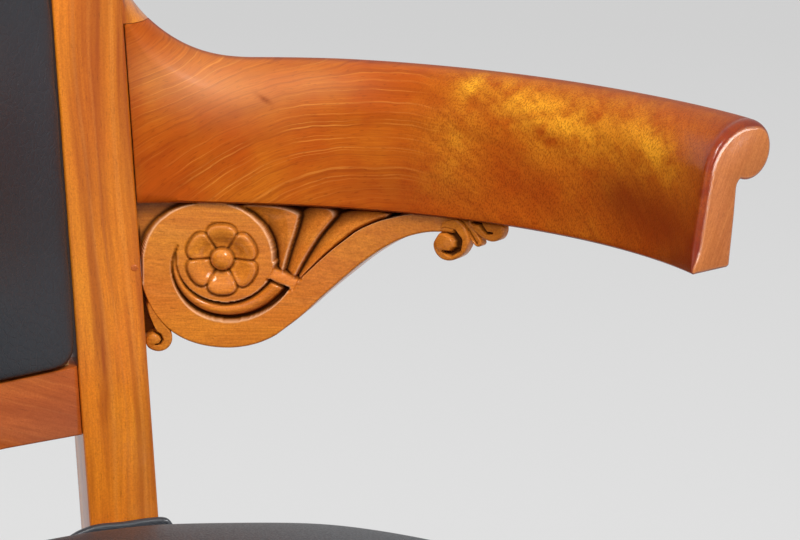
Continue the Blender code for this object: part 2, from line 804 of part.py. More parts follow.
def screw_rings(start, end, grow):
    """Rings of a countersunk screw; the head starts flush."""
    axis = (end - start).normalized()
    marks = ((0.0, SCREW_HEAD_RADIUS), (SCREW_HEAD, SCREW_RADIUS), (SCREW_LENGTH + grow, SCREW_RADIUS))
    lead = -axis * (4.0 * SCREW_HEAD) if grow else Vector()
    rings = []
    for index, (distance, radius) in enumerate(marks):
        centre = start + axis * distance
        rings.append(rod(centre, centre + axis, radius + grow, 8)[0])
        if index == 0 and grow:
            rings.insert(0, [point + lead for point in rings[0]])
    return rings


# Stay rail and crest rail

def back_y(z):
    """Y of the stile's inner front corner at a height; the back leans with the stiles."""
    corner = tub_point(0.0) - ALONG * STILE_WIDTH
    return corner.y + RAKE * (z - ARM_UNDERSIDE)


def stay_mid_y():
    """Middle of the stay rail, front to back."""
    middle = STAY_RAIL_BOTTOM + STAY_RAIL_HEIGHT / 2.0
    return back_y(middle) + STAY_RAIL_SETBACK + STAY_RAIL_THICKNESS / 2.0


def stay_tenon(grow):
    """Tenon from the stay rail into the left stile."""
    face = stile_centre(STAY_RAIL_BOTTOM).x - STILE_WIDTH / 3.0
    low = STAY_RAIL_BOTTOM + (STAY_RAIL_HEIGHT - STAY_TENON_HEIGHT) / 2.0
    tip = Vector((face + TENON_DEPTH, stay_mid_y(), 0.0))
    root = Vector((tip.x - TENON_DEPTH - TENON_ROOT, stay_mid_y(), 0.0))
    return tenon_bar(root, tip, low, STAY_TENON_HEIGHT, grow)


def stay_rings():
    """Rings of the stay rail, its ends running inside the stiles."""
    end = stile_centre(STAY_RAIL_BOTTOM).x - STILE_WIDTH / 6.0
    rings = []
    for x in (-end, end):
        ring = []
        for z, front in ((STAY_RAIL_BOTTOM, 1), (STAY_RAIL_BOTTOM, 0),
                         (STAY_RAIL_BOTTOM + STAY_RAIL_HEIGHT, 0), (STAY_RAIL_BOTTOM + STAY_RAIL_HEIGHT, 1)):
            y = back_y(z) + STAY_RAIL_SETBACK + (0.0 if front else STAY_RAIL_THICKNESS)
            ring.append(Vector((x, y, z)))
        rings.append(ring)
    return rings


def build_crest(material):
    """Crest rail with the arms' rolled section, bowed in plan and arched on top."""
    base = STILE_TOP + GAP
    seat = stile_centre(STILE_TOP)
    rings = []
    count = 20
    for i in range(count + 1):
        x = mix(-CREST_HALF_LENGTH, CREST_HALF_LENGTH, i / count)
        share = (x / CREST_HALF_LENGTH) ** 2
        height = mix(CREST_HEIGHT, CREST_END_HEIGHT, share)
        bow = CREST_BOW * (1.0 - (x / seat.x) ** 2)
        section = roll_profile(height, CREST_STEM, CREST_ROLL_REACH, CREST_SHOULDER_RADIUS,
                               CREST_ROLL_RADIUS, 4)
        rings.append([Vector((x, seat.y - CREST_STEM / 2.0 + bow + out, base + rise))
                      for out, rise in section])
    crest = loft("crest_rail", rings, material)
    cut(crest, crest_tenon(GAP), material)
    cut(crest, flip(crest_tenon(GAP)), material)
    return crest


# Carved bracket, built flat as (run, out, rise) and then bent to the horseshoe

def prism(outline, near, far):
    """Rings of a flat shape between two depths."""
    return [[Vector((run, out, rise)) for run, rise in outline] for out in (near, far)]


def scroll_radius(angle):
    """Radius of the scroll's outer edge, growing from its top round to its foot."""
    share = min(max((angle - math.pi / 2.0) / math.pi, 0.0), 1.0)
    return mix(SCROLL_TOP_RADIUS, SCROLL_BOTTOM_RADIUS, share ** 0.55)


def scroll_edge(start, end, inset, steps):
    """Points along the scroll's edge, set in from it."""
    points = []
    for i in range(steps + 1):
        angle = mix(start, end, i / steps)
        radius = scroll_radius(angle) - inset
        rise = -ROSETTE_DROP + radius * math.sin(angle)
        run = ROSETTE_RUN + radius * math.cos(angle)
        points.append((max(run, stile_line(rise) + inset), rise))
    return points


def strap_edge(inset, end_inset, steps):
    """Lower edge of the strap from the scroll's foot out to the end curl, set in from it."""
    foot = math.radians(300.0)
    start = scroll_edge(foot, foot, inset, 1)[0]
    way = (-math.sin(foot), math.cos(foot))
    pull = 0.050
    ease = 0.040
    end = (STRAP_END_RUN, -STRAP_END_DROP + end_inset)
    return bezier(start, (start[0] + pull * way[0], start[1] + pull * way[1]),
                  (end[0] - ease, end[1]), end, steps)


def stile_line(rise):
    """Run of the stile's side face at a level below the arm."""
    return GAP - SIDE_SHEAR * rise


def bracket_ground():
    """Outline of the sunk ground: scroll, strap and the corner at the stile."""
    top = -GAP
    left = scroll_edge(math.pi, math.radians(300.0), GROUND_INSET, 12)
    lower = strap_edge(GROUND_INSET, GROUND_INSET, 9)[1:-1]
    return [(stile_line(top), top)] + left + lower + [(lower[-1][0], top)]


def bracket_strap():
    """Outline of the raised strap, from the top of the scroll out to the end curl."""
    outer = scroll_edge(math.radians(165.0), math.radians(300.0), 0.0, 12) + strap_edge(0.0, 0.0, 9)[1:]
    inner = strap_edge(STRAP_WIDTH, STRAP_END_WIDTH - 2 * GAP, 9)
    inner = [(run, min(rise, -2 * GAP)) for run, rise in inner]
    back = scroll_edge(math.radians(190.0), math.radians(300.0), STRAP_WIDTH, 9)
    return outer + list(reversed(inner)) + list(reversed(back))[1:]


def rosette_rings():
    """Rings of the six-petalled rosette and its boss, from the ground up."""
    face = BRACKET_SETBACK
    levels = ((1.0, face + 0.002), (1.0, face), (0.72, face - ROSETTE_RISE),
              (0.42, face - 0.6 * ROSETTE_RISE))
    count = 6 * ROSETTE_PETALS
    rings = []
    for share, out in levels:
        ring = []
        for i in range(count):
            angle = 2.0 * math.pi * i / count
            lobe = 0.88 + 0.12 * abs(math.sin(ROSETTE_PETALS * angle / 2.0)) ** 0.6
            radius = ROSETTE_RADIUS * share * lobe
            ring.append(Vector((ROSETTE_RUN + radius * math.cos(angle), out,
                                -ROSETTE_DROP + radius * math.sin(angle))))
        rings.append(ring)
    return rings


def boss_rings():
    """Rings of the domed boss in the middle of the rosette."""
    face = BRACKET_SETBACK - 0.4 * ROSETTE_RISE
    levels = ((1.0, face + 0.002), (1.0, face - 0.001), (0.6, face - ROSETTE_RISE))
    rings = []
    for share, out in levels:
        ring = arc((ROSETTE_RUN, -ROSETTE_DROP), ROSETTE_BOSS_RADIUS * share, 0.0, 2.0 * math.pi, 12)[:-1]
        rings.append([Vector((run, out, rise)) for run, rise in ring])
    return rings


def flute_rings(index):
    """Rings of one fluted leaf of the fan between the collar and the arm."""
    root = Vector((FLUTE_ROOT_RUN + 0.0035 * index, 0.0, -FLUTE_ROOT_DROP - 0.0015 * index))
    tip = Vector((FLUTE_TIP_RUN + FLUTE_TIP_STEP * index, 0.0, -0.0035))
    axis = (tip - root).normalized()
    side = Vector((axis.z, 0.0, -axis.x))
    ground = BRACKET_SETBACK + BRACKET_RELIEF
    rings = []
    for share in (0.0, 0.5, 1.0):
        centre = root + (tip - root) * share
        radius = mix(FLUTE_ROOT_RADIUS, FLUTE_TIP_RADIUS, share) * (1.0 - 0.12 * index)
        ring = []
        for i in range(7):
            angle = math.pi * i / 6.0
            rise = 0.42 * BRACKET_RELIEF * math.sin(angle) + 0.22 * BRACKET_RELIEF
            ring.append(centre + side * (radius * math.cos(angle)) + Vector((0.0, ground - rise, 0.0)))
        ring.append(centre - side * radius + Vector((0.0, ground + 0.002, 0.0)))
        ring.append(centre + side * radius + Vector((0.0, ground + 0.002, 0.0)))
        rings.append(ring)
    for point in rings[-1]:
        point.z = min(point.z, -3 * GAP)
    return rings


def curl_outline(run, drop, radius):
    """A small round curl."""
    return arc((run, -drop), radius, 0.0, 2.0 * math.pi, 16)[:-1]


def bend(piece):
    """Score a flat carved piece along its run and bend it round the horseshoe."""
    bm = bmesh.new()
    bm.from_mesh(piece.data)
    bmesh.ops.remove_doubles(bm, verts=bm.verts, dist=1e-5)
    bmesh.ops.triangulate(bm, faces=bm.faces)
    steps = int(LEAF_RUN / BEND_STEP) + 1
    for i in range(1, steps):
        bmesh.ops.bisect_plane(bm, geom=bm.verts[:] + bm.edges[:] + bm.faces[:], dist=1e-6,
                               plane_co=(i * BEND_STEP, 0.0, 0.0), plane_no=(1.0, 0.0, 0.0))
    bmesh.ops.triangulate(bm, faces=bm.faces)
    for vert in bm.verts:
        rear = 1.0 - smooth(vert.co.x / ARM_BLEND)
        run = vert.co.x + SIDE_SHEAR * vert.co.z * rear
        vert.co = arm_point(run, vert.co.y, vert.co.z)
    bmesh.ops.recalc_face_normals(bm, faces=bm.faces)
    bm.to_mesh(piece.data)
    bm.free()


def build_bracket(material):
    """Left scroll bracket: sunk ground, raised strap and scroll, rosette, fan and curls."""
    face = BRACKET_SETBACK
    ground = face + BRACKET_RELIEF
    back = face + BRACKET_THICKNESS
    bracket = loft("arm_bracket_left", prism(bracket_ground(), ground, back), material)
    lap = ground + 0.001
    join(bracket, prism(bracket_strap(), face, back - 0.0005), material)
    join(bracket, prism(curl_outline(ROSETTE_RUN, ROSETTE_DROP, DISC_RADIUS), face, lap), material)
    join(bracket, rosette_rings(), material)
    join(bracket, boss_rings(), material)
    for index in range(FLUTE_COUNT):
        join(bracket, flute_rings(index), material)
    curl = curl_outline(CURL_RUN, CURL_DROP, CURL_RADIUS)
    join(bracket, prism(curl, face - 0.0006, back - 0.002), material)
    join(bracket, prism(leaf_outline(), face + 0.002, back - 0.003), material)
    join(bracket, prism(tail_outline(), face + 0.001, back - 0.001), material)
    bend(bracket)
    for start, end in bracket_dowel_lines():
        cut(bracket, bore(start, end, BRACKET_DOWEL_RADIUS), material)
    return bracket


def tail_outline():
    """The small curl that hangs between the scroll and the stile, with its stem."""
    top = (stile_line(-TAIL_STEM_TOP) + 0.002, -TAIL_STEM_TOP)
    side = (TAIL_RUN - 0.001, -0.5 * (TAIL_STEM_TOP + TAIL_DROP - TAIL_RADIUS))
    return [top] + arc((TAIL_RUN, -TAIL_DROP), TAIL_RADIUS, math.pi, 2.5 * math.pi, 12) + [side]


def leaf_outline():
    """The last small curl under the arm, with the stalk that joins it to the strap."""
    start = (CURL_RUN - CURL_RADIUS, -4 * GAP)
    tip = arc((LEAF_RUN, -LEAF_DROP), LEAF_RADIUS - GAP, math.pi / 2.0, -math.pi, 10)
    return [start] + tip + [(CURL_RUN, -CURL_DROP + 0.002)]


# Upholstery

def closed_form(name, rings, material):
    """Skin rings from a centre point out, round and back to another centre point."""
    bm = bmesh.new()
    loops = [[bm.verts.new(point) for point in ring] for ring in rings]
    count = len(rings[0])
    for first, second in zip(loops, loops[1:]):
        for i in range(count):
            j = (i + 1) % count
            bm.faces.new((first[i], first[j], second[j], second[i]))
    for loop in (loops[0], loops[-1]):
        centre = sum((vert.co for vert in loop), Vector()) / count
        hub = bm.verts.new(centre)
        for i in range(count):
            bm.faces.new((loop[i], loop[(i + 1) % count], hub))
    return finish(name, bm, material)


def shell_form(name, outer, inner, material):
    """Skin a cup with thickness: outer rings from the crown to the rim, inner rings back up."""
    return closed_form(name, outer + list(reversed(inner)), material)


def ray_circle(origin, way, centre, radius):
    """Distance along a plan ray to the far side of a circle."""
    offset = origin - centre
    b = offset.dot(way)
    return -b + math.sqrt(b * b - offset.dot(offset) + radius * radius)


def seat_radius(angle, inset):
    """Distance from the seat's middle to its soft outline, set in by an amount."""
    origin = Vector((0.0, SEAT_WIDEST_Y, 0.0))
    way = Vector((math.cos(angle), math.sin(angle), 0.0))
    centre_x, radius = side_circle()
    reaches = []
    for side in (1.0, -1.0):
        centre = Vector((side * centre_x, SEAT_WIDEST_Y, 0.0))
        reaches.append(ray_circle(origin, way, centre, radius + SEAT_OVERHANG - inset))
    bow = Vector((0.0, SEAT_FRONT_Y + front_bow_radius(), 0.0))
    reaches.append(ray_circle(origin, way, bow, front_bow_radius() + SEAT_OVERHANG - inset))
    if way.y > 0.05:
        rear = rear_rail_y() + SEAT_RAIL_THICKNESS / 2.0 - inset
        reaches.append((rear - origin.y) / way.y)
    corner = stile_centre(SEAT_RAIL_TOP) + FACE * (STILE_DEPTH / 2.0 + SEAT_STILE_GAP + inset)
    for side in (1.0, -1.0):
        normal = Vector((-side * FACE.x, -FACE.y, 0.0))
        facing = normal.dot(way)
        if facing > 0.05:
            point = Vector((side * corner.x, corner.y, 0.0))
            reaches.append(normal.dot(point - origin) / facing)
    return sum(reach ** -16.0 for reach in reaches) ** (-1.0 / 16.0)


def seat_levels(shrink):
    """Insets and heights of the seat's crown, rolled edge, drawn-in side and base rim."""
    base = SEAT_RAIL_TOP + GAP
    edge = SEAT_EDGE_HEIGHT
    crown = [(share, base + edge + SEAT_CROWN * (1.0 - share ** 2.2))
             for share in (0.15, 0.35, 0.55, 0.72, 0.86)]
    drop = SEAT_ROLL_DROP
    side = ((SEAT_ROLL, edge - 0.04 * drop), (0.27 * SEAT_ROLL, edge - 0.42 * drop), (0.0, edge - drop),
            (0.5 * SEAT_FOOT, 0.20 * edge))
    return crown, [(inset + shrink, base + rise, shrink * rise / edge) for inset, rise in side]


def seat_dip(x, y, z):
    """How far the seat sinks at a place, most at its top edge in front of a stile."""
    foot = stile_centre(SEAT_RAIL_TOP) + FACE * (STILE_DEPTH / 2.0)
    away = min(math.hypot(x - foot.x, y - foot.y), math.hypot(x + foot.x, y - foot.y))
    share = smooth((z - SEAT_RAIL_TOP) / (0.8 * SEAT_EDGE_HEIGHT) - 0.25)
    return SEAT_DIP * share * math.exp(-(away / SEAT_DIP_REACH) ** 2)


def seat_ring(inset, z, scale, lower=0.0):
    """One ring of the seat: scaled from the middle, set in, sunk near the stiles, then lowered."""
    middle = Vector((0.0, SEAT_WIDEST_Y, 0.0))
    ring = []
    for i in range(SOFT_SIDES):
        angle = 2.0 * math.pi * (i + 0.5) / SOFT_SIDES
        reach = seat_radius(angle, inset) * scale
        point = middle + Vector((reach * math.cos(angle), reach * math.sin(angle), z))
        point.z -= seat_dip(point.x, point.y, z) + lower
        ring.append(point)
    return ring


def seat_surface(shrink):
    """Rings from the crown of the seat to the foot of its side."""
    crown, side = seat_levels(shrink)
    rings = [seat_ring(SEAT_ROLL + shrink, z, 0.985 * share, shrink) for share, z in crown]
    return rings + [seat_ring(inset, z, 1.0, lower) for inset, z, lower in side]


def build_seat_leather(material):
    """Leather cover: crowned top, rolled edge, drawn-in side and a return under the edge."""
    base = SEAT_RAIL_TOP + GAP
    top = base + LEATHER
    rim = SEAT_FOOT + SEAT_RIM_RETURN
    outer = seat_surface(0.0) + [seat_ring(SEAT_FOOT, base, 1.0), seat_ring(rim, base, 1.0)]
    inner = seat_surface(LEATHER) + [seat_ring(SEAT_FOOT + LEATHER, top, 1.0), seat_ring(rim, top, 1.0)]
    return shell_form("seat_leather", outer, inner, material)


def build_seat_stuffing(material):
    """Hair stuffing that fills the leather."""
    shrink = LEATHER + STUFFING_GAP
    base = SEAT_RAIL_TOP + 2 * GAP + LEATHER
    low = base + WEBBING_THICKNESS + CANVAS_THICKNESS + GAP
    rings = seat_surface(shrink)
    rings.append(seat_ring(1.6 * SEAT_FOOT + shrink, low, 1.0))
    rings.append(seat_ring(STUFFING_INSET, low, 1.0))
    return closed_form("seat_stuffing", rings, material)


def weave(name, straps, material):
    """Interlaced webbing: every strap joined where it crosses the others."""
    woven = loft(name, straps[0], material)
    for rings in straps[1:]:
        join(woven, rings, material)
    return woven


def build_seat_webbing(material):
    """Webbing over the seat frame: three straps side to side woven with three front to back."""
    low = SEAT_RAIL_TOP + GAP
    high = low + WEBBING_THICKNESS
    straps = []
    for y in (SEAT_WIDEST_Y + 2.0 * WEBBING_WIDTH, SEAT_WIDEST_Y, SEAT_WIDEST_Y - 2.0 * WEBBING_WIDTH):
        far = SEAT_WIDEST_Y + abs(y - SEAT_WIDEST_Y) + WEBBING_WIDTH / 2.0
        end = side_x(far, SEAT_RAIL_THICKNESS - WEBBING_LAP)
        straps.append(bar(Vector((-end, y, 0)), Vector((end, y, 0)), WEBBING_WIDTH, low, high))
    for x in (-1.9 * WEBBING_WIDTH, 0.0, 1.9 * WEBBING_WIDTH):
        front = front_y(abs(x) + WEBBING_WIDTH / 2.0, SEAT_RAIL_THICKNESS - WEBBING_LAP)
        rear = rear_rail_y() - SEAT_RAIL_THICKNESS / 2.0 + WEBBING_LAP
        straps.append(bar(Vector((x, front, 0)), Vector((x, rear, 0)), WEBBING_WIDTH,
                          low + WEAVE_STEP, high - WEAVE_STEP))
    return weave("seat_webbing", straps, material)


def build_seat_canvas(material):
    """Canvas over the webbing, inside the leather's rim."""
    level = SEAT_RAIL_TOP + 2 * GAP + WEBBING_THICKNESS
    inset = SEAT_FOOT + SEAT_RIM_RETURN + SEAT_OVERHANG
    rings = [seat_ring(inset, z, 1.0) for z in (level, level + CANVAS_THICKNESS)]
    return closed_form("seat_canvas", rings, material)


def collar_path():
    """Centre line of the collar: along the seat's sunk edge across the stile's face."""
    edge = SEAT_RAIL_TOP + SEAT_EDGE_HEIGHT
    z = edge - SEAT_DIP - COLLAR_SINK
    width, depth = stile_section(z)
    middle = stile_centre(z) + FACE * (depth / 2.0 + COLLAR_RADIUS + GAP)
    half = width / 2.0 + COLLAR_OVERLAP
    points = []
    for i in range(13):
        share = -1.0 + i / 6.0
        past = max(0.0, abs(share) * half - width / 2.0) / COLLAR_OVERLAP
        point = middle + ALONG * (share * half) + FACE * (0.004 * past ** 2)
        point.z = edge - seat_dip(point.x, point.y, edge) - COLLAR_SINK
        points.append(point)
    return points


def build_collar(material):
    """Rolled leather collar at the foot of the left stile."""
    path = collar_path()
    rings = []
    last = len(path) - 1
    for index, point in enumerate(path):
        before = path[max(index - 1, 0)]
        after = path[min(index + 1, last)]
        axis = (after - before).normalized()
        side = axis.cross(Vector((0.0, 0.0, 1.0))).normalized()
        radius = COLLAR_RADIUS * (0.55 if index in (0, last) else 1.0)
        ring = []
        for i in range(8):
            angle = 2.0 * math.pi * i / 8
            ring.append(point + side * (radius * math.cos(angle)) + Vector((0, 0, radius * math.sin(angle))))
        rings.append(ring)
    return loft("seat_collar_left", rings, material)


def back_low():
    """Lowest level of the back panel."""
    return STAY_RAIL_BOTTOM + STAY_RAIL_HEIGHT + GAP


def back_high():
    """Highest level of the back panel."""
    return STILE_TOP


def back_half():
    """Half the clear width between the stiles."""
    return (tub_point(0.0) - ALONG * STILE_WIDTH).x - 2 * GAP


def back_point(x, depth, z):
    """Point of the leaning back panel, a depth behind the stiles' inner corners."""
    return Vector((x, back_y(z) + depth, z))


def back_bar(name, x0, x1, z0, z1, material):
    """One softwood bar of the back frame."""
    near = BACK_FRAME_SETBACK
    far = near + BACK_FRAME_DEPTH
    rings = []
    for z in (z0, z1):
        corners = ((x0, near), (x1, near), (x1, far), (x0, far))
        rings.append([back_point(x, depth, z) for x, depth in corners])
    return loft(name, rings, material)


def build_back_frame(material):
    """Four bars, the uprights between the top and bottom bars."""
    half = back_half()
    low = back_low()
    high = back_high()
    wide = BACK_FRAME_WIDTH
    back_bar("back_frame_bottom", -half, half, low, low + wide, material)
    back_bar("back_frame_top", -half, half, high - wide, high, material)
    inner = half - wide
    back_bar("back_frame_left", inner, half, low + wide + GAP, high - wide - GAP, material)
    back_bar("back_frame_right", -half, -inner, low + wide + GAP, high - wide - GAP, material)


def back_strap(x0, x1, z0, z1, step):
    """Rings of one strap on the front of the back frame."""
    far = BACK_FRAME_SETBACK - GAP - step
    near = BACK_FRAME_SETBACK - GAP - WEBBING_THICKNESS + step
    corners = ((x0, near), (x1, near), (x1, far), (x0, far))
    return [[back_point(x, depth, z) for x, depth in corners] for z in (z0, z1)]


def build_back_webbing(material):
    """Webbing on the front of the back frame: one strap across woven with three upright."""
    lap = BACK_FRAME_WIDTH / 2.0
    half = WEBBING_WIDTH / 2.0
    reach = back_half() - lap
    middle = (back_low() + back_high()) / 2.0
    straps = [back_strap(-reach, reach, middle - half, middle + half, 0.0)]
    for x in (-1.6 * WEBBING_WIDTH, 0.0, 1.6 * WEBBING_WIDTH):
        straps.append(back_strap(x - half, x + half, back_low() + lap, back_high() - lap, WEAVE_STEP))
    return weave("back_webbing", straps, material)


def pad_ring(inset, depth, scale):
    """One ring of the back pad: a rectangle with soft corners, set in, then scaled."""
    half_x = back_half() - inset
    half_z = (back_high() - back_low()) / 2.0 - GAP - inset
    middle = (back_high() + back_low()) / 2.0
    power = 0.7 * half_z / BACK_PAD_CORNER
    ring = []
    for i in range(SOFT_SIDES):
        angle = 2.0 * math.pi * (i + 0.5) / SOFT_SIDES
        across = math.cos(angle)
        up = math.sin(angle)
        reach = (abs(across / half_x) ** power + abs(up / half_z) ** power) ** (-1.0 / power)
        ring.append(back_point(scale * reach * across, depth, middle + scale * reach * up))
    return ring


def pad_surface(shrink):
    """Rings from the crown of the back pad to the foot of its side."""
    foot = BACK_FRAME_SETBACK - GAP
    edge = BACK_PAD_EDGE
    rings = []
    for share in (0.2, 0.45, 0.68, 0.86):
        depth = foot - edge - BACK_PAD_CROWN * (1.0 - share ** 2.4) + shrink
        rings.append(pad_ring(BACK_PAD_ROLL + shrink, depth, share))
    side = ((BACK_PAD_ROLL, 0.97), (0.27 * BACK_PAD_ROLL, 0.76), (0.0, 0.45), (0.5 * BACK_PAD_FOOT, 0.16))
    for inset, rise in side:
        rings.append(pad_ring(inset + shrink, foot - edge * rise + shrink * rise, 1.0))
    return rings


def build_back_leather(material):
    """Leather cover of the back pad, returned onto the face of its frame."""
    foot = BACK_FRAME_SETBACK - GAP
    level = foot - LEATHER
    rim = BACK_PAD_FOOT + BACK_RIM_RETURN
    outer = pad_surface(0.0) + [pad_ring(BACK_PAD_FOOT, foot, 1.0), pad_ring(rim, foot, 1.0)]
    inner = pad_surface(LEATHER) + [pad_ring(BACK_PAD_FOOT + LEATHER, level, 1.0), pad_ring(rim, level, 1.0)]
    return shell_form("back_leather", outer, inner, material)


def build_back_stuffing(material):
    """Hair stuffing of the back pad, lying on the webbing."""
    shrink = LEATHER + GAP
    level = BACK_FRAME_SETBACK - 2 * GAP - max(LEATHER, WEBBING_THICKNESS) - GAP
    rings = pad_surface(shrink)[:-1]
    rings.append(pad_ring(1.6 * BACK_PAD_FOOT + shrink, level, 1.0))
    rings.append(pad_ring(STUFFING_INSET, level, 1.0))
    return closed_form("back_stuffing", rings, material)


def build_back_outside(material):
    """Flat leather panel over the rear of the back frame."""
    near = BACK_FRAME_SETBACK + BACK_FRAME_DEPTH + GAP
    far = near + BACK_COVER
    rings = []
    for z in (back_low() + GAP, back_high() - GAP):
        half = back_half()
        corners = ((-half, near), (half, near), (half, far), (-half, far))
        rings.append([back_point(x, depth, z) for x, depth in corners])
    return loft("back_outside_leather", rings, material)


def build_pair(piece):
    """Add the right-hand copy of a left-hand piece."""
    return mirrored(piece, piece.name.replace("_left", "_right"))


def build_blocks(wood, steel, rails):
    """Corner blocks fitted inside the seat frame, and the screws that hold them."""
    for place, spot in corner_spots().items():
        block = loft("corner_block_" + place + "_left", block_rings(spot), wood)
        cut(block, side_rail_rings(GAP), wood)
        if place == "front":
            cut(block, front_leg_rings(GAP), wood)
            cut(block, front_rail_rings(GAP), wood)
        else:
            cut(block, stile_rings(GAP), wood)
            cut(block, rear_rail_rings(GAP), wood)
        cross = rails[place]
        for target, (start, end) in zip((cross, rails["side"]), block_screws(spot)):
            hole = screw_rings(start, end, BORE_GAP)
            cut(block, hole, wood)
            cut(target, hole, wood)
            if target is cross:
                cut(cross, flip(hole), wood)
            way = "rail" if target is cross else "side"
            name = "corner_screw_" + place + "_" + way + "_left"
            build_pair(loft(name, screw_rings(start, end, 0.0), steel))
        build_pair(block)


def main():
    """Build the chair."""
    clear_scene()
    wood = make_material("polished_fruitwood", (0.45, 0.17, 0.045), 0.28)
    softwood = make_material("softwood", (0.55, 0.40, 0.22), 0.7)
    leather = make_material("black_leather", (0.018, 0.019, 0.022), 0.42)
    webbing = make_material("jute_webbing", (0.36, 0.26, 0.14), 0.9)
    canvas = make_material("canvas", (0.50, 0.44, 0.32), 0.9)
    hair = make_material("curled_hair", (0.06, 0.045, 0.03), 0.95)
    steel = make_material("steel", (0.55, 0.55, 0.56), 0.4, 1.0)

    stile = build_stile(wood)
    build_pair(stile)
    leg = build_front_leg(wood)
    build_pair(leg)
    side_rail = build_side_rail(wood)
    front = build_cross_rail("seat_rail_front", front_rail_rings(0.0), front_leg_rings(GAP),
                             front_rail_tenon(0.0), wood)
    rear = build_cross_rail("seat_rail_rear", rear_rail_rings(0.0), stile_rings(GAP),
                            rear_rail_tenon(0.0), wood)
    build_blocks(softwood, steel, {"front": front, "rear": rear, "side": side_rail})
    build_pair(side_rail)
    build_cross_rail("stay_rail", stay_rings(), stile_rings(GAP), stay_tenon(0.0), wood)
    build_crest(wood)

    build_pair(build_arm(wood))
    build_pair(build_bracket(wood))
    for place, line in zip(("lower", "upper"), arm_dowel_lines()):
        build_pair(loft("arm_dowel_" + place + "_left", rod(*line, DOWEL_RADIUS), softwood))
    for place, line in zip(("rear", "front"), bracket_dowel_lines()):
        build_pair(loft("bracket_dowel_" + place + "_left", rod(*line, BRACKET_DOWEL_RADIUS), softwood))
    build_pair(loft("bracket_peg_left", rod(*peg_line(), PEG_RADIUS), wood))

    build_back_frame(softwood)
    build_back_webbing(webbing)
    build_back_stuffing(hair)
    build_back_leather(leather)
    build_back_outside(leather)

    build_seat_webbing(webbing)
    build_seat_canvas(canvas)
    build_seat_stuffing(hair)
    build_seat_leather(leather)
    build_pair(build_collar(leather))


main()
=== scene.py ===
"""Dresses the horseshoe desk armchair: carved brackets, polished wood and black leather."""
import math

import bmesh
import bpy
import numpy as np
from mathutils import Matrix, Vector


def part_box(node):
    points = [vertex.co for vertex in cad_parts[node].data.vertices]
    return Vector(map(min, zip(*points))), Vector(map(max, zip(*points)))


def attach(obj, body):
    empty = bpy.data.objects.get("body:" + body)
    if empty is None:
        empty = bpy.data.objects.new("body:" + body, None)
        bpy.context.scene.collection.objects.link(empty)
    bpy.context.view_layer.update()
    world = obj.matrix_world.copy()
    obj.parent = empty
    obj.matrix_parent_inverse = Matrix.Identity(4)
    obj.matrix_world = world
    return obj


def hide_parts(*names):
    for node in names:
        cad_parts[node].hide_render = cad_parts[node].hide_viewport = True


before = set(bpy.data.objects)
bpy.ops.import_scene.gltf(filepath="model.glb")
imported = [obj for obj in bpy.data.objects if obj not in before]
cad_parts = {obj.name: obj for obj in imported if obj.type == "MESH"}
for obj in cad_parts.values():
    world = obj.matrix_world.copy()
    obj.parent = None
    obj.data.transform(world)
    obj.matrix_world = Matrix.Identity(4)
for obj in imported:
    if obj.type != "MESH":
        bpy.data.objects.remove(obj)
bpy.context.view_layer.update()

bl_info = {
    "name": "Horseshoe Desk Armchair",
    "version": (1, 0, 0),
    "blender": (4, 5, 0),
    "location": "View3D > Sidebar > Armchair",
    "description": "Models the wood, carving and leather of a desk armchair over its solid frame",
    "category": "Object",
}

ROOT = "root"
MM = 0.001
UP = np.array((0.0, 0.0, 1.0))

# Plan and lean shared by the pieces, in metres, as in the solids
TUB_CENTRE_Y = -0.037
STILE_BEARING = math.radians(48.0)
STILE_TURN = math.radians(35.0)
RAKE = 0.085
STILE_WIDE, STILE_DEEP = 0.039, 0.036
SEAT_LEVEL = 0.385
ALONG = np.array((math.cos(STILE_TURN), -math.sin(STILE_TURN), 0.0))
FACE = np.array((-math.sin(STILE_TURN), -math.cos(STILE_TURN), 0.0))
SIDE_SHEAR = RAKE * math.sin(STILE_TURN)
FACE_LEAN = RAKE * math.cos(STILE_TURN)


def linear(code):
    """Linear red, green and blue of an sRGB hex colour."""
    parts = [int(code[i:i + 2], 16) / 255.0 for i in (1, 3, 5)]
    return tuple(c / 12.92 if c <= 0.04045 else ((c + 0.055) / 1.055) ** 2.4 for c in parts)


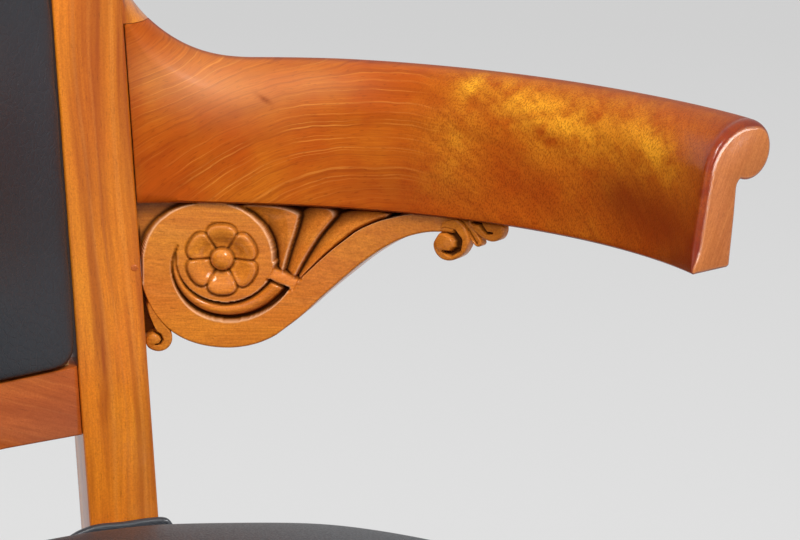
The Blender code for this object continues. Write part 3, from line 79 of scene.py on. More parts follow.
class ChairSizes(bpy.types.PropertyGroup):
    """Sizes that shape the visible pieces."""
    tub_radius: bpy.props.FloatProperty(
        name="Horseshoe radius", description="Plan radius of the arms' inner lower edge",
        default=0.2955, min=0.2, max=0.4, unit="LENGTH")
    arm_underside: bpy.props.FloatProperty(
        name="Arm underside", description="Height of the arms' level underside",
        default=0.600, min=0.5, max=0.7, unit="LENGTH")
    arm_height: bpy.props.FloatProperty(
        name="Arm height", description="Height of the arm's section",
        default=0.0745, min=0.04, max=0.1, unit="LENGTH")
    arm_run: bpy.props.FloatProperty(
        name="Arm run", description="Length of an arm along the horseshoe",
        default=0.376, min=0.2, max=0.45, unit="LENGTH")
    arm_roll: bpy.props.FloatProperty(
        name="Roll radius", description="Radius of the rolled outer edge of the arm",
        default=0.0155, min=0.005, max=0.03, unit="LENGTH")
    arris: bpy.props.FloatProperty(
        name="Arris", description="Softness of the wood's edges",
        default=0.0018, min=0.0002, max=0.006, unit="LENGTH")
    carving_depth: bpy.props.FloatProperty(
        name="Carving depth", description="Depth of the sunk ground behind the bracket's face",
        default=0.006, min=0.001, max=0.012, unit="LENGTH")
    seat_swell: bpy.props.FloatProperty(
        name="Seat swell", description="How far the seat's stuffing may push the leather out",
        default=0.006, min=0.0, max=0.03, unit="LENGTH")
    back_swell: bpy.props.FloatProperty(
        name="Back swell", description="How far the back's stuffing may push the leather out",
        default=0.004, min=0.0, max=0.02, unit="LENGTH")
    leather_pebble: bpy.props.FloatProperty(
        name="Leather pebble", description="Size of one pebble of the leather's grain",
        default=0.0011, min=0.0003, max=0.005, unit="LENGTH")


COLOUR = {"subtype": "COLOR", "size": 3, "min": 0.0, "max": 1.0}


class ChairColours(bpy.types.PropertyGroup):
    """Colours of the finishes."""
    arm: bpy.props.FloatVectorProperty(
        name="Arm wood", description="Main colour of the arms",
        default=linear("#AE4C0E"), **COLOUR)
    stile: bpy.props.FloatVectorProperty(
        name="Stile wood", description="Main colour of the stiles and legs",
        default=linear("#E8801E"), **COLOUR)
    bracket: bpy.props.FloatVectorProperty(
        name="Bracket wood", description="Main colour of the carved brackets",
        default=linear("#E0822B"), **COLOUR)
    rail: bpy.props.FloatVectorProperty(
        name="Rail wood", description="Main colour of the rails and the crest",
        default=linear("#C8642A"), **COLOUR)
    end: bpy.props.FloatVectorProperty(
        name="End grain", description="Sawn front ends of the arms",
        default=linear("#CA7B43"), **COLOUR)
    golden: bpy.props.FloatVectorProperty(
        name="Golden figure", description="Lightest figure of the polished wood",
        default=linear("#F8B02C"), **COLOUR)
    russet: bpy.props.FloatVectorProperty(
        name="Russet rings", description="Darker rings of the polished wood",
        default=linear("#8E3A0C"), **COLOUR)
    cherry: bpy.props.FloatVectorProperty(
        name="Cherry stain", description="Red stain gathered at the front edge of the arms",
        default=linear("#761506"), **COLOUR)
    # Old wax and dust in the carving's hollows, and painted shade: on the deep carving, the sunk ground and the
    # stile's side beside the back pad
    recess: bpy.props.FloatVectorProperty(
        name="Recess", description="Old wax and dust in the bottom of the carving",
        default=linear("#2B0F06"), **COLOUR)
    leather: bpy.props.FloatVectorProperty(
        name="Leather", description="Black leather of the seat and back",
        default=linear("#25292F"), **COLOUR)
    backdrop: bpy.props.FloatVectorProperty(
        name="Backdrop", description="Pale paper behind and under the chair",
        default=linear("#DADADA"), **COLOUR)


def sizes():
    """The chair's sizes."""
    return bpy.context.scene.chair_sizes


def tone(key, factor=1.0):
    """One of the chair's colours, as it is or darker."""
    return tuple(factor * part for part in getattr(bpy.context.scene.chair_colours, key))


# Small numeric helpers

def ease(value):
    """Smooth step from 0 to 1."""
    value = np.clip(value, 0.0, 1.0)
    return value * value * (3.0 - 2.0 * value)


def mix(first, second, share):
    """Straight blend."""
    return first + (second - first) * share


def curve(knots, values, at):
    """Smooth curve through a few knots, read at an array of places."""
    knots = np.asarray(knots, float)
    values = np.asarray(values, float)
    slopes = np.gradient(values, knots)
    i = np.clip(np.searchsorted(knots, at) - 1, 0, len(knots) - 2)
    span = knots[i + 1] - knots[i]
    t = np.clip((at - knots[i]) / span, 0.0, 1.0)
    h00 = 2 * t ** 3 - 3 * t ** 2 + 1
    h10 = t ** 3 - 2 * t ** 2 + t
    h01 = -2 * t ** 3 + 3 * t ** 2
    h11 = t ** 3 - t ** 2
    return h00 * values[i] + h10 * span * slopes[i] + h01 * values[i + 1] + h11 * span * slopes[i + 1]


def resample(points, count):
    """Spread points evenly along a polyline."""
    points = np.asarray(points, float)
    steps = np.hypot(*np.diff(points, axis=0).T)
    length = np.concatenate(([0.0], np.cumsum(steps)))
    at = np.linspace(0.0, length[-1], count)
    return np.stack([np.interp(at, length, points[:, k]) for k in range(points.shape[1])], axis=1)


def arc_points(centre, radius, start, end, count):
    """Points of an arc, angles in radians."""
    angles = np.linspace(start, end, count)
    return np.stack([centre[0] + radius * np.cos(angles), centre[1] + radius * np.sin(angles)], axis=1)


# Mesh helpers

def select_only(piece):
    """Make one piece the only selected and active one."""
    bpy.ops.object.select_all(action="DESELECT")
    piece.select_set(True)
    bpy.context.view_layer.objects.active = piece


def index(share, count):
    """Number of a row or column from its share of the way."""
    return np.rint(share * count).astype(int)


def read_points(piece, what="co"):
    """Points or normals of a piece, one to a row."""
    flat = np.empty(len(piece.data.vertices) * 3, np.float32)
    piece.data.vertices.foreach_get(what, flat)
    return flat.reshape(-1, 3)


def write_points(piece, points):
    """Move the points of a piece."""
    piece.data.vertices.foreach_set("co", np.ascontiguousarray(points, np.float32).ravel())
    piece.data.update()


def rename(piece, name):
    """Name a piece and its mesh."""
    piece.name = name
    piece.data.name = name


def edit(piece, *steps):
    """Run mesh operators on the whole of a piece, each with its settings."""
    select_only(piece)
    bpy.ops.object.mode_set(mode="EDIT")
    for step, settings in steps:
        bpy.ops.mesh.select_all(action="SELECT")
        step(**settings)
    bpy.ops.object.mode_set(mode="OBJECT")


def skin(name, across, along, place, closed=True, caps=True):
    """A sheet of quads laid over a form: place turns two arrays of 0 to 1 into points."""
    bpy.ops.object.select_all(action="DESELECT")
    bpy.ops.mesh.primitive_grid_add(x_subdivisions=across, y_subdivisions=along, size=2.0)
    piece = bpy.context.object
    rename(piece, name)
    flat = read_points(piece)
    u = np.rint((flat[:, 0] + 1.0) / 2.0 * across) / across
    v = np.rint((flat[:, 1] + 1.0) / 2.0 * along) / along
    write_points(piece, place(u, v))
    close(piece, closed, caps)
    return piece


def close(piece, closed=True, caps=True):
    """Merge the seam, cap the ends and turn the faces outwards."""
    merge = [(bpy.ops.mesh.remove_doubles, {"threshold": 1e-6})] if closed else []
    cap = [(bpy.ops.mesh.fill_holes, {"sides": 0})] if caps else []
    edit(piece, *merge, *cap, (bpy.ops.mesh.normals_make_consistent, {"inside": False}))


def mark(piece, name, values):
    """Keep one number on each point for the finish, such as stain, wear, old wax, painted shade and painted
    highlight.
    """
    layer = piece.data.attributes.new(name, "FLOAT", "POINT")
    layer.data.foreach_set("value", np.ascontiguousarray(values, np.float32))


def soften(piece, degrees=40.0):
    """Smooth shading that keeps real edges."""
    select_only(piece)
    bpy.ops.object.shade_smooth_by_angle(angle=math.radians(degrees))


def copy_node(node, name):
    """A merged copy of a solid with whole faces, ready to be worked on."""
    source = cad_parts[node]
    piece = bpy.data.objects.new(name, source.data.copy())
    bpy.context.collection.objects.link(piece)
    piece.data.materials.clear()
    edit(piece, (bpy.ops.mesh.remove_doubles, {"threshold": 1e-5}),
         (bpy.ops.mesh.dissolve_limited, {"angle_limit": math.radians(1.0)}))
    return piece


def modify(piece, kind, **settings):
    """Add one modifier with its settings and apply it."""
    modifier = piece.modifiers.new(kind.lower(), kind)
    for key, value in settings.items():
        setattr(modifier, key, value)
    select_only(piece)
    bpy.ops.object.modifier_apply(modifier=modifier.name)


def mirror_copy(piece, name):
    """The matching piece on the sitter's right, with its own mesh."""
    select_only(piece)
    bpy.ops.object.duplicate()
    other = bpy.context.object
    rename(other, name)
    write_points(other, read_points(other) * np.array((-1.0, 1.0, 1.0), np.float32))
    edit(other, (bpy.ops.mesh.flip_normals, {}))
    return other


def join_pieces(first, others):
    """Join several meshes into the first one."""
    bpy.ops.object.select_all(action="DESELECT")
    for other in others:
        other.select_set(True)
    first.select_set(True)
    bpy.context.view_layer.objects.active = first
    bpy.ops.object.join()
    return first


def settle(piece, material, slot, *nodes):
    """Give a finished piece its finish and its place on the frame, and hide the solids it stands for."""
    piece.data.materials.clear()
    piece.data.materials.append(material)
    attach(piece, ROOT)
    if nodes:
        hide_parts(*nodes)
    return piece


def settle_pair(left, key, slot, node):
    """Settle a left piece and its mirror image, each for the solid on its own side."""
    pair = (left, mirror_copy(left, left.name.replace("left", "right")))
    for piece, side in zip(pair, ("left", "right")):
        settle(piece, finish(key), slot, node + "_" + side)
    return pair


# Finishes

def opaque(colour):
    """A colour with full alpha."""
    return (*colour, 1.0)


def feed(tree, node, inputs):
    """Give a node its values and links, by the names or numbers of its sockets."""
    for key, value in inputs.items():
        if isinstance(value, bpy.types.NodeSocket):
            tree.links.new(value, node.inputs[key])
        else:
            node.inputs[key].default_value = value


def add(tree, kind, inputs=(), **settings):
    """Add one node with its settings, values and links."""
    node = tree.nodes.new(kind)
    for key, value in settings.items():
        setattr(node, key, value)
    feed(tree, node, dict(inputs))
    return node


def ramp(tree, factor, stops):
    """A colour ramp with its stops, each a place and a grey or a colour."""
    node = add(tree, "ShaderNodeValToRGB", {"Fac": factor})
    elements = node.color_ramp.elements
    while len(elements) < len(stops):
        elements.new(0.5)
    for element, (place, colour) in zip(elements, stops):
        element.position = place
        element.color = opaque((colour, colour, colour) if isinstance(colour, float) else colour)
    return node.outputs["Color"]


def start_material(name):
    """An empty material with its Principled shader."""
    material = bpy.data.materials.new(name)
    material.use_nodes = True
    tree = material.node_tree
    return material, tree, tree.nodes["Principled BSDF"]


class Finish:
    """A material in the making, with the steps that the wood recipes share."""

    def __init__(self, name, grain, pith):
        self.material, self.tree, self.shader = start_material(name)
        turn = Vector(grain).normalized().rotation_difference(Vector((1.0, 0.0, 0.0)))
        self.coords = add(self.tree, "ShaderNodeTexCoord").outputs["Object"]
        plank = add(self.tree, "ShaderNodeMapping", {"Vector": self.coords, "Rotation": turn.to_euler(),
                                                     "Location": -(turn @ Vector(pith))})
        self.plank = plank.outputs["Vector"]

    def mark(self, name):
        """A number kept on the piece's points."""
        return add(self.tree, "ShaderNodeAttribute", attribute_name=name).outputs["Fac"]

    def sum(self, first, second, factor=1.0):
        """First plus the second times a factor."""
        return add(self.tree, "ShaderNodeMath", {0: second, 1: factor, 2: first}, operation="MULTIPLY_ADD").outputs[0]

    def times(self, first, second):
        """Product of two masks."""
        return add(self.tree, "ShaderNodeMath", {0: first, 1: second}, operation="MULTIPLY").outputs[0]

    def less(self, value):
        """What is left of a mask."""
        return add(self.tree, "ShaderNodeMath", {0: 1.0, 1: value}, operation="SUBTRACT").outputs[0]

    def at(self, across, along, low):
        """A place made of two measures, for noise laid along drawn lines."""
        return add(self.tree, "ShaderNodeCombineXYZ", {"X": across, "Y": along, "Z": low}).outputs[0]

    def noise(self, vector, scale, detail, rough=0.55, shift=0.0):
        """Noise with a number of repeats per metre along each axis."""
        spread = add(self.tree, "ShaderNodeMapping", {"Vector": vector, "Scale": scale,
                                                      "Location": (shift, shift, shift)})
        return add(self.tree, "ShaderNodeTexNoise", {"Vector": spread.outputs["Vector"], "Scale": 1.0,
                                                     "Detail": detail, "Roughness": rough})

    def mask(self, vector, scale, detail, rough, shift, low, high):
        """A noise cut to a black and white mask."""
        noise = self.noise(vector, scale, detail, rough, shift)
        return ramp(self.tree, noise.outputs["Fac"], ((low, 0.0), (high, 1.0)))

    def shells(self, radius, size, detail, low, high):
        """Uneven growth rings, a given size apart, cut to a mask."""
        noise = add(self.tree, "ShaderNodeTexNoise", {"W": radius, "Scale": 1.0 / size, "Detail": detail},
                    noise_dimensions="1D")
        return ramp(self.tree, noise.outputs["Fac"], ((low, 0.0), (high, 1.0)))

    def blend(self, factor, amount, first, second):
        """Mix a second colour in by a mask times an amount."""
        inputs = {0: self.times(factor, amount)}
        for key, value in ((6, first), (7, second)):
            inputs[key] = value if isinstance(value, bpy.types.NodeSocket) else opaque(value)
        return add(self.tree, "ShaderNodeMix", inputs, data_type="RGBA").outputs[2]

    def layers(self, colour, *steps):
        """Lay colours over the first one, each by a mask and an amount."""
        for factor, amount, shade in steps:
            colour = self.blend(factor, amount, colour, shade)
        return colour

    def polish(self, colour, fibre, pores, film=0.60):
        """Clear shellac film over the coloured wood: shallow rubbing waves, with the pores just open."""
        # The dark mark is old wax with painted shade, the pale mark is worn edges with a painted highlight; both also
        # dull the film
        wax_and_painted_shade_mask = self.mark("recess")
        colour = self.layers(colour, (self.mark("worn"), 0.50, linear("#F2C8A0")), (wax_and_painted_shade_mask, 0.94, tone("recess")))
        dull = add(self.tree, "ShaderNodeMapRange", {"Value": wax_and_painted_shade_mask, "To Min": 0.40, "To Max": 0.80})
        dry = add(self.tree, "ShaderNodeMath", {0: wax_and_painted_shade_mask, 1: self.mark("matt")}, operation="MAXIMUM")
        coat = add(self.tree, "ShaderNodeMapRange", {"Value": dry.outputs[0], "To Min": film, "To Max": 0.0})
        wave = add(self.tree, "ShaderNodeTexNoise", {"Vector": self.coords, "Scale": 42.0, "Detail": 3.0})
        height = self.sum(self.sum(wave.outputs["Fac"], pores, -0.25), fibre, 0.08)
        bump = add(self.tree, "ShaderNodeBump", {"Height": height, "Strength": 0.14, "Distance": 0.0010}).outputs[0]
        feed(self.tree, self.shader, {
            "Base Color": colour, "Roughness": dull.outputs[0], "Specular IOR Level": 0.06,
            "Coat Weight": coat.outputs[0], "Coat Roughness": 0.11, "Coat IOR": 1.5,
            "Normal": bump, "Coat Normal": bump})
        return self.material


def fruitwood(base, grain, pith, golden, russet, lines, streaks, ring=0.0026, spread=180.0, fine=0.38, film=0.60,
              along=12.0):
    """French-polished fruitwood: rings round the pith of the plank, streaks and fibres along its grain."""
    wood = Finish("polished_fruitwood_" + base, grain, pith)

    # Distance from the pith, wandering about 15 mm over lengths of 0.3 m along and 80 mm across
    wander = wood.noise(wood.plank, (3.0, 12.0, 12.0), 2.0).outputs["Color"]
    push = add(wood.tree, "ShaderNodeVectorMath", {0: wander, 1: (0.5, 0.5, 0.5)}, operation="SUBTRACT").outputs[0]
    push = add(wood.tree, "ShaderNodeVectorMath", {0: push, "Scale": 0.030}, operation="SCALE").outputs[0]
    bent = add(wood.tree, "ShaderNodeVectorMath", {0: wood.plank, 1: push}, operation="ADD").outputs[0]
    flat = add(wood.tree, "ShaderNodeVectorMath", {0: bent, 1: (0.0, 1.0, 1.0)}, operation="MULTIPLY").outputs[0]
    radius = add(wood.tree, "ShaderNodeVectorMath", {0: flat}, operation="LENGTH").outputs["Value"]

    pale = wood.shells(radius, ring, 2.0, 0.56, 0.70)
    dark = wood.shells(radius, 4.5 * ring, 3.0, 0.44, 0.74)
    # Streaks a hand or a finger long, fibres about 1.2 mm apart, pores 0.7 mm wide and 5 mm long
    streak = wood.mask(bent, (along, spread, spread), 3.0, 0.55, 4.4, 0.44, 0.68)
    fibre = wood.mask(bent, (20.0, 900.0, 900.0), 4.0, 0.65, 0.0, 0.36, 0.66)
    pores = wood.mask(wood.plank, (180.0, 1400.0, 1400.0), 2.0, 0.5, 3.1, 0.62, 0.72)
    speckle = wood.mask(wood.coords, (950.0, 950.0, 950.0), 2.0, 0.6, 6.0, 0.40, 0.66)
    figure = wood.mask(wood.plank, (9.0, 26.0, 26.0), 3.0, 0.5, 7.7, 0.36, 0.68)
    cloud = wood.mask(wood.plank, (6.0, 11.0, 11.0), 2.0, 0.5, 1.3, 0.36, 0.70)

    brown = tone("russet")
    colour = wood.layers(
        tone(base), (figure, golden, tone("golden")), (cloud, 0.80 * russet, brown), (dark, 0.60 * russet, brown),
        (streak, streaks, brown), (pale, lines, linear("#F2B460")), (fibre, fine, brown), (speckle, 0.26, brown),
        (pores, 0.30, tone("russet", 0.35)))
    return wood.polish(colour, fibre, pores, film)


def arm_wood():
    """French-polished fruitwood of the arms.

    Pale growth lines arch up from the stile and level out. Towards the front the fibres stand on end:
    golden patches, speckled with pores, crossed by soft slanting streaks, with red stain at the edge.
    """
    wood = Finish("polished_fruitwood_arm", (1.0, 0.0, 0.0), (0.0, 0.0, 0.0))
    run, lift, front = wood.mark("run"), wood.mark("lift"), wood.mark("front")
    drift = wood.noise(wood.coords, (14.0, 14.0, 14.0), 3.0).outputs["Fac"]
    rings = wood.sum(wood.mark("rings"), drift, 0.009)
    lined = wood.less(front)

    # Growth lines 0.5 to 1 mm wide, darker bands 8 mm apart, dashes of fibre along both
    spread = wood.mask(wood.coords, (22.0, 22.0, 22.0), 2.0, 0.5, 5.0, 0.36, 0.60)
    pale = wood.times(wood.times(wood.shells(rings, 0.0012, 2.0, 0.57, 0.69), lined), spread)
    brown = wood.times(wood.shells(wood.sum(rings, 1.0, 0.37), 0.0014, 2.0, 0.56, 0.70), lined)
    dark = wood.shells(rings, 0.0080, 3.0, 0.46, 0.70)
    along = wood.at(rings, run, 0.0)
    fibre = wood.mask(along, (1400.0, 55.0, 1.0), 3.0, 0.6, 0.0, 0.38, 0.66)
    dash = wood.times(wood.mask(along, (1500.0, 220.0, 1.0), 2.0, 0.5, 3.1, 0.60, 0.70), lined)
    # Pores cut across at the front, 1 mm dots, and streaks that fall towards the end
    dots = wood.times(wood.mask(wood.coords, (1100.0, 1100.0, 800.0), 2.0, 0.6, 6.0, 0.46, 0.62), front)
    slant = wood.at(wood.sum(lift, run, 0.62), run, 0.0)
    streak = wood.times(wood.mask(slant, (190.0, 16.0, 1.0), 3.0, 0.55, 2.6, 0.46, 0.68), front)
    cloud = wood.mask(wood.coords, (24.0, 24.0, 24.0), 3.0, 0.55, 1.3, 0.36, 0.68)
    patch = wood.mask(wood.coords, (70.0, 70.0, 90.0), 3.0, 0.55, 8.3, 0.30, 0.58)

    rubbed = wood.times(wood.mark("stain"), wood.sum(0.50, patch, 0.45))
    # Over the figure go a painted sheen from the haze mark, dark figure with painted shade, and the cherry stain at
    # the front
    colour = wood.layers(
        tone("arm"), (dark, 0.34, tone("russet")), (cloud, 0.16, tone("golden")), (pale, 0.27, linear("#F6A848")),
        (brown, 0.34, tone("russet", 0.8)), (fibre, 0.40, tone("russet")), (dash, 0.34, tone("russet", 0.5)),
        (wood.mark("haze"), 0.30, linear("#EAB284")),
        (wood.times(wood.mark("golden"), patch), 0.80, tone("golden")), (streak, 0.36, tone("russet")),
        (rubbed, 0.95, tone("cherry")), (wood.mark("dusk"), 0.85, linear("#6C220A")),
        (dots, 0.54, tone("russet", 0.6)), (wood.mark("sawn"), 1.0, tone("end")))
    return wood.polish(colour, fibre, dots)


def hide_leather(name="black_upholstery_leather", wax=0.12, haze=0.28):
    """Black upholstery leather: drum-dyed hide with a fine pebble and a waxed sheen on its highs."""
    material, tree, shader = start_material(name)
    coords = add(tree, "ShaderNodeTexCoord").outputs["Object"]
    pebble = 1.0 / sizes().leather_pebble
    warp = add(tree, "ShaderNodeTexNoise", {"Vector": coords, "Scale": 0.3 * pebble, "Detail": 2.0})
    push = add(tree, "ShaderNodeVectorMath", {0: warp.outputs["Color"], "Scale": 0.0009}, operation="SCALE")
    moved = add(tree, "ShaderNodeVectorMath", {0: coords, 1: push.outputs[0]}, operation="ADD")
    cells = add(tree, "ShaderNodeTexVoronoi", {"Vector": moved.outputs[0], "Scale": pebble},
                feature="SMOOTH_F1")
    creases = add(tree, "ShaderNodeTexVoronoi", {"Vector": moved.outputs[0], "Scale": 0.22 * pebble},
                  feature="DISTANCE_TO_EDGE")
    crease = ramp(tree, creases.outputs["Distance"], ((0.0, 0.0), (0.07, 1.0)))
    cloud = add(tree, "ShaderNodeTexNoise", {"Vector": coords, "Scale": 14.0, "Detail": 4.0})
    shade = add(tree, "ShaderNodeMix", {0: cloud.outputs["Fac"], 6: opaque(tone("leather", 0.72)),
                                        7: opaque(tone("leather", 1.35))}, data_type="RGBA")
    rough = add(tree, "ShaderNodeMapRange", {"Value": cells.outputs["Distance"], "From Max": 0.7,
                                             "To Min": 0.34, "To Max": 0.58})
    height = add(tree, "ShaderNodeMath", {0: cells.outputs["Distance"], 1: -0.8, 2: crease},
                 operation="MULTIPLY_ADD")
    bump = add(tree, "ShaderNodeBump", {"Height": height.outputs[0], "Strength": 0.35, "Distance": 0.0004})
    feed(tree, shader, {"Base Color": shade.outputs[2], "Roughness": rough.outputs[0], "IOR": 1.48,
                        "Coat Weight": wax, "Coat Roughness": haze, "Normal": bump.outputs["Normal"]})
    return material


def plain_softwood():
    """Sawn pine or beech inside the chair: pale, dry, with straight brown grain."""
    material, tree, shader = start_material("sawn_softwood")
    coords = add(tree, "ShaderNodeTexCoord").outputs["Object"]
    spread = add(tree, "ShaderNodeMapping", {"Vector": coords, "Scale": (9.0, 160.0, 160.0)})
    noise = add(tree, "ShaderNodeTexNoise", {"Vector": spread.outputs["Vector"], "Scale": 1.0, "Detail": 4.0})
    colour = ramp(tree, noise.outputs["Fac"], ((0.35, linear("#8C6236")), (0.65, linear("#C39A62"))))
    bump = add(tree, "ShaderNodeBump", {"Height": noise.outputs["Fac"], "Strength": 0.2, "Distance": 0.0004})
    feed(tree, shader, {"Base Color": colour, "Roughness": 0.68, "Normal": bump.outputs["Normal"]})
    return material


def woven(name, dark, light, thread_mm):
    """Plain-woven jute or linen: over-and-under threads at a real spacing, dry and matt."""
    material, tree, shader = start_material(name)
    coords = add(tree, "ShaderNodeTexCoord").outputs["Object"]
    scale = 2.0 * math.pi / (20.0 * thread_mm * MM)
    warp, weft = (add(tree, "ShaderNodeTexWave", {"Vector": coords, "Scale": scale, "Distortion": 0.6},
                      bands_direction=way).outputs["Fac"] for way in "XY")
    cloth = add(tree, "ShaderNodeMath", {0: warp, 1: weft}, operation="MULTIPLY")
    noise = add(tree, "ShaderNodeTexNoise", {"Vector": coords, "Scale": 240.0, "Detail": 3.0})
    mixed = add(tree, "ShaderNodeMath", {0: noise.outputs["Fac"], 1: 0.6, 2: cloth.outputs[0]},
                operation="MULTIPLY_ADD")
    colour = ramp(tree, mixed.outputs[0], ((0.1, linear(dark)), (0.9, linear(light))))
    bump = add(tree, "ShaderNodeBump", {"Height": mixed.outputs[0], "Strength": 0.5, "Distance": 0.0006})
    feed(tree, shader, {"Base Color": colour, "Roughness": 0.88, "Normal": bump.outputs["Normal"]})
    return material


def drawn_steel():
    """Bright drawn steel of wood screws, dulled by age."""
    material, tree, shader = start_material("drawn_steel")
    coords = add(tree, "ShaderNodeTexCoord").outputs["Object"]
    noise = add(tree, "ShaderNodeTexNoise", {"Vector": coords, "Scale": 900.0, "Detail": 3.0})
    colour = ramp(tree, noise.outputs["Fac"], ((0.3, linear("#77736C")), (0.7, linear("#B5B2AC"))))
    feed(tree, shader, {"Base Color": colour, "Metallic": 1.0, "Roughness": 0.38})
    return material


MATERIALS = {}


def finish(key):
    """Each finish is made once and shared."""
    if key not in MATERIALS:
        MATERIALS[key] = RECIPES[key]()
    return MATERIALS[key]


RECIPES = {
    "arm": arm_wood,
    "end": lambda: fruitwood("end", (0.5, 0.0, 0.87), (0.33, 0.08, 0.50), golden=0.10, russet=0.20, lines=0.0,
                             streaks=0.16, film=0.05),
    "stile": lambda: fruitwood("stile", (0.02, 0.085, 1.0), (0.10, 0.30, 0.30), golden=0.44, russet=0.30, lines=0.08,
                               streaks=0.85, ring=0.0060, spread=85.0, fine=0.24, along=3.0),
    "bracket": lambda: fruitwood("bracket", (0.6, -0.8, 0.0), (0.12, 0.0, 0.40), golden=0.35, russet=0.20, lines=0.06,
                                 streaks=0.16, ring=0.0060),
    "rail": lambda: fruitwood("rail", (0.93, 0.0, -0.36), (0.0, 0.10, 0.30), golden=0.12, russet=0.30, lines=0.06,
                              streaks=0.40, ring=0.0040),
    "leather": hide_leather,
    "piping": lambda: hide_leather("black_leather_piping", wax=0.80, haze=0.16),
    "softwood": plain_softwood,
    "jute": lambda: woven("jute_webbing", "#6B5130", "#A98A5C", 2.4),
    "canvas": lambda: woven("linen_canvas", "#8E8266", "#C4BA9E", 1.2),
    "steel": drawn_steel,
}


# Places on the chair

def tub(run):
    """Plan point on the horseshoe."""
    radius = sizes().tub_radius
    bearing = STILE_BEARING - run / radius
    zero = np.zeros_like(bearing)
    return np.stack([radius * np.cos(bearing), TUB_CENTRE_Y + radius * np.sin(bearing), zero], axis=-1)


def arm_point(run, out, rise, sheared=True):
    """Points of the arm: along the horseshoe, outwards from its inner face, above its underside."""
    size = sizes()
    blend = 0.090
    rear = 1.0 - ease(run / blend)
    front = ease((run - size.arm_run) / blend + 1.0)
    end_bearing = STILE_BEARING - size.arm_run / size.tub_radius
    skew = rear * (math.pi / 2.0 - STILE_TURN - STILE_BEARING) - front * end_bearing
    heading = STILE_BEARING - run / size.tub_radius + skew
    reach = out / np.cos(skew)
    base = tub(run - SIDE_SHEAR * rise * rear * sheared)
    base[..., 0] += reach * np.cos(heading)
    base[..., 1] += reach * np.sin(heading)
    base[..., 2] += size.arm_underside + rise
    return base


def stile_corner():
    """Plan point where the face of the stile meets the horseshoe."""
    return tub(np.zeros(1))[0]


def stile_middle(z):
    """Centre of the stile and rear leg at each height."""
    underside = sizes().arm_underside
    centre = stile_corner() - ALONG * (STILE_WIDE / 2.0) - FACE * (STILE_DEEP / 2.0)
    heel = (0.028 * abs(ALONG[1]) + 0.026 * abs(FACE[1])) / 2.0
    sweep = 0.300 - heel - (centre[1] - RAKE * underside)
    below = np.clip((SEAT_LEVEL - z) / SEAT_LEVEL, 0.0, None)
    y = centre[1] + RAKE * (z - underside) + sweep * below ** 2
    return np.stack([np.full_like(z, centre[0]), y, z], axis=-1)


def rounded_box(width, depth, radius, per_corner):
    """Outline of a rectangle with rounded corners, closed."""
    points = []
    for turn, (i, j) in enumerate(((1, 1), (-1, 1), (-1, -1), (1, -1))):
        angles = np.linspace(0.0, math.pi / 2.0, per_corner) + turn * math.pi / 2.0
        for angle in angles:
            points.append((i * (width / 2.0 - radius) + radius * math.cos(angle),
                           j * (depth / 2.0 - radius) + radius * math.sin(angle)))
    points.append(points[0])
    return np.array(points)


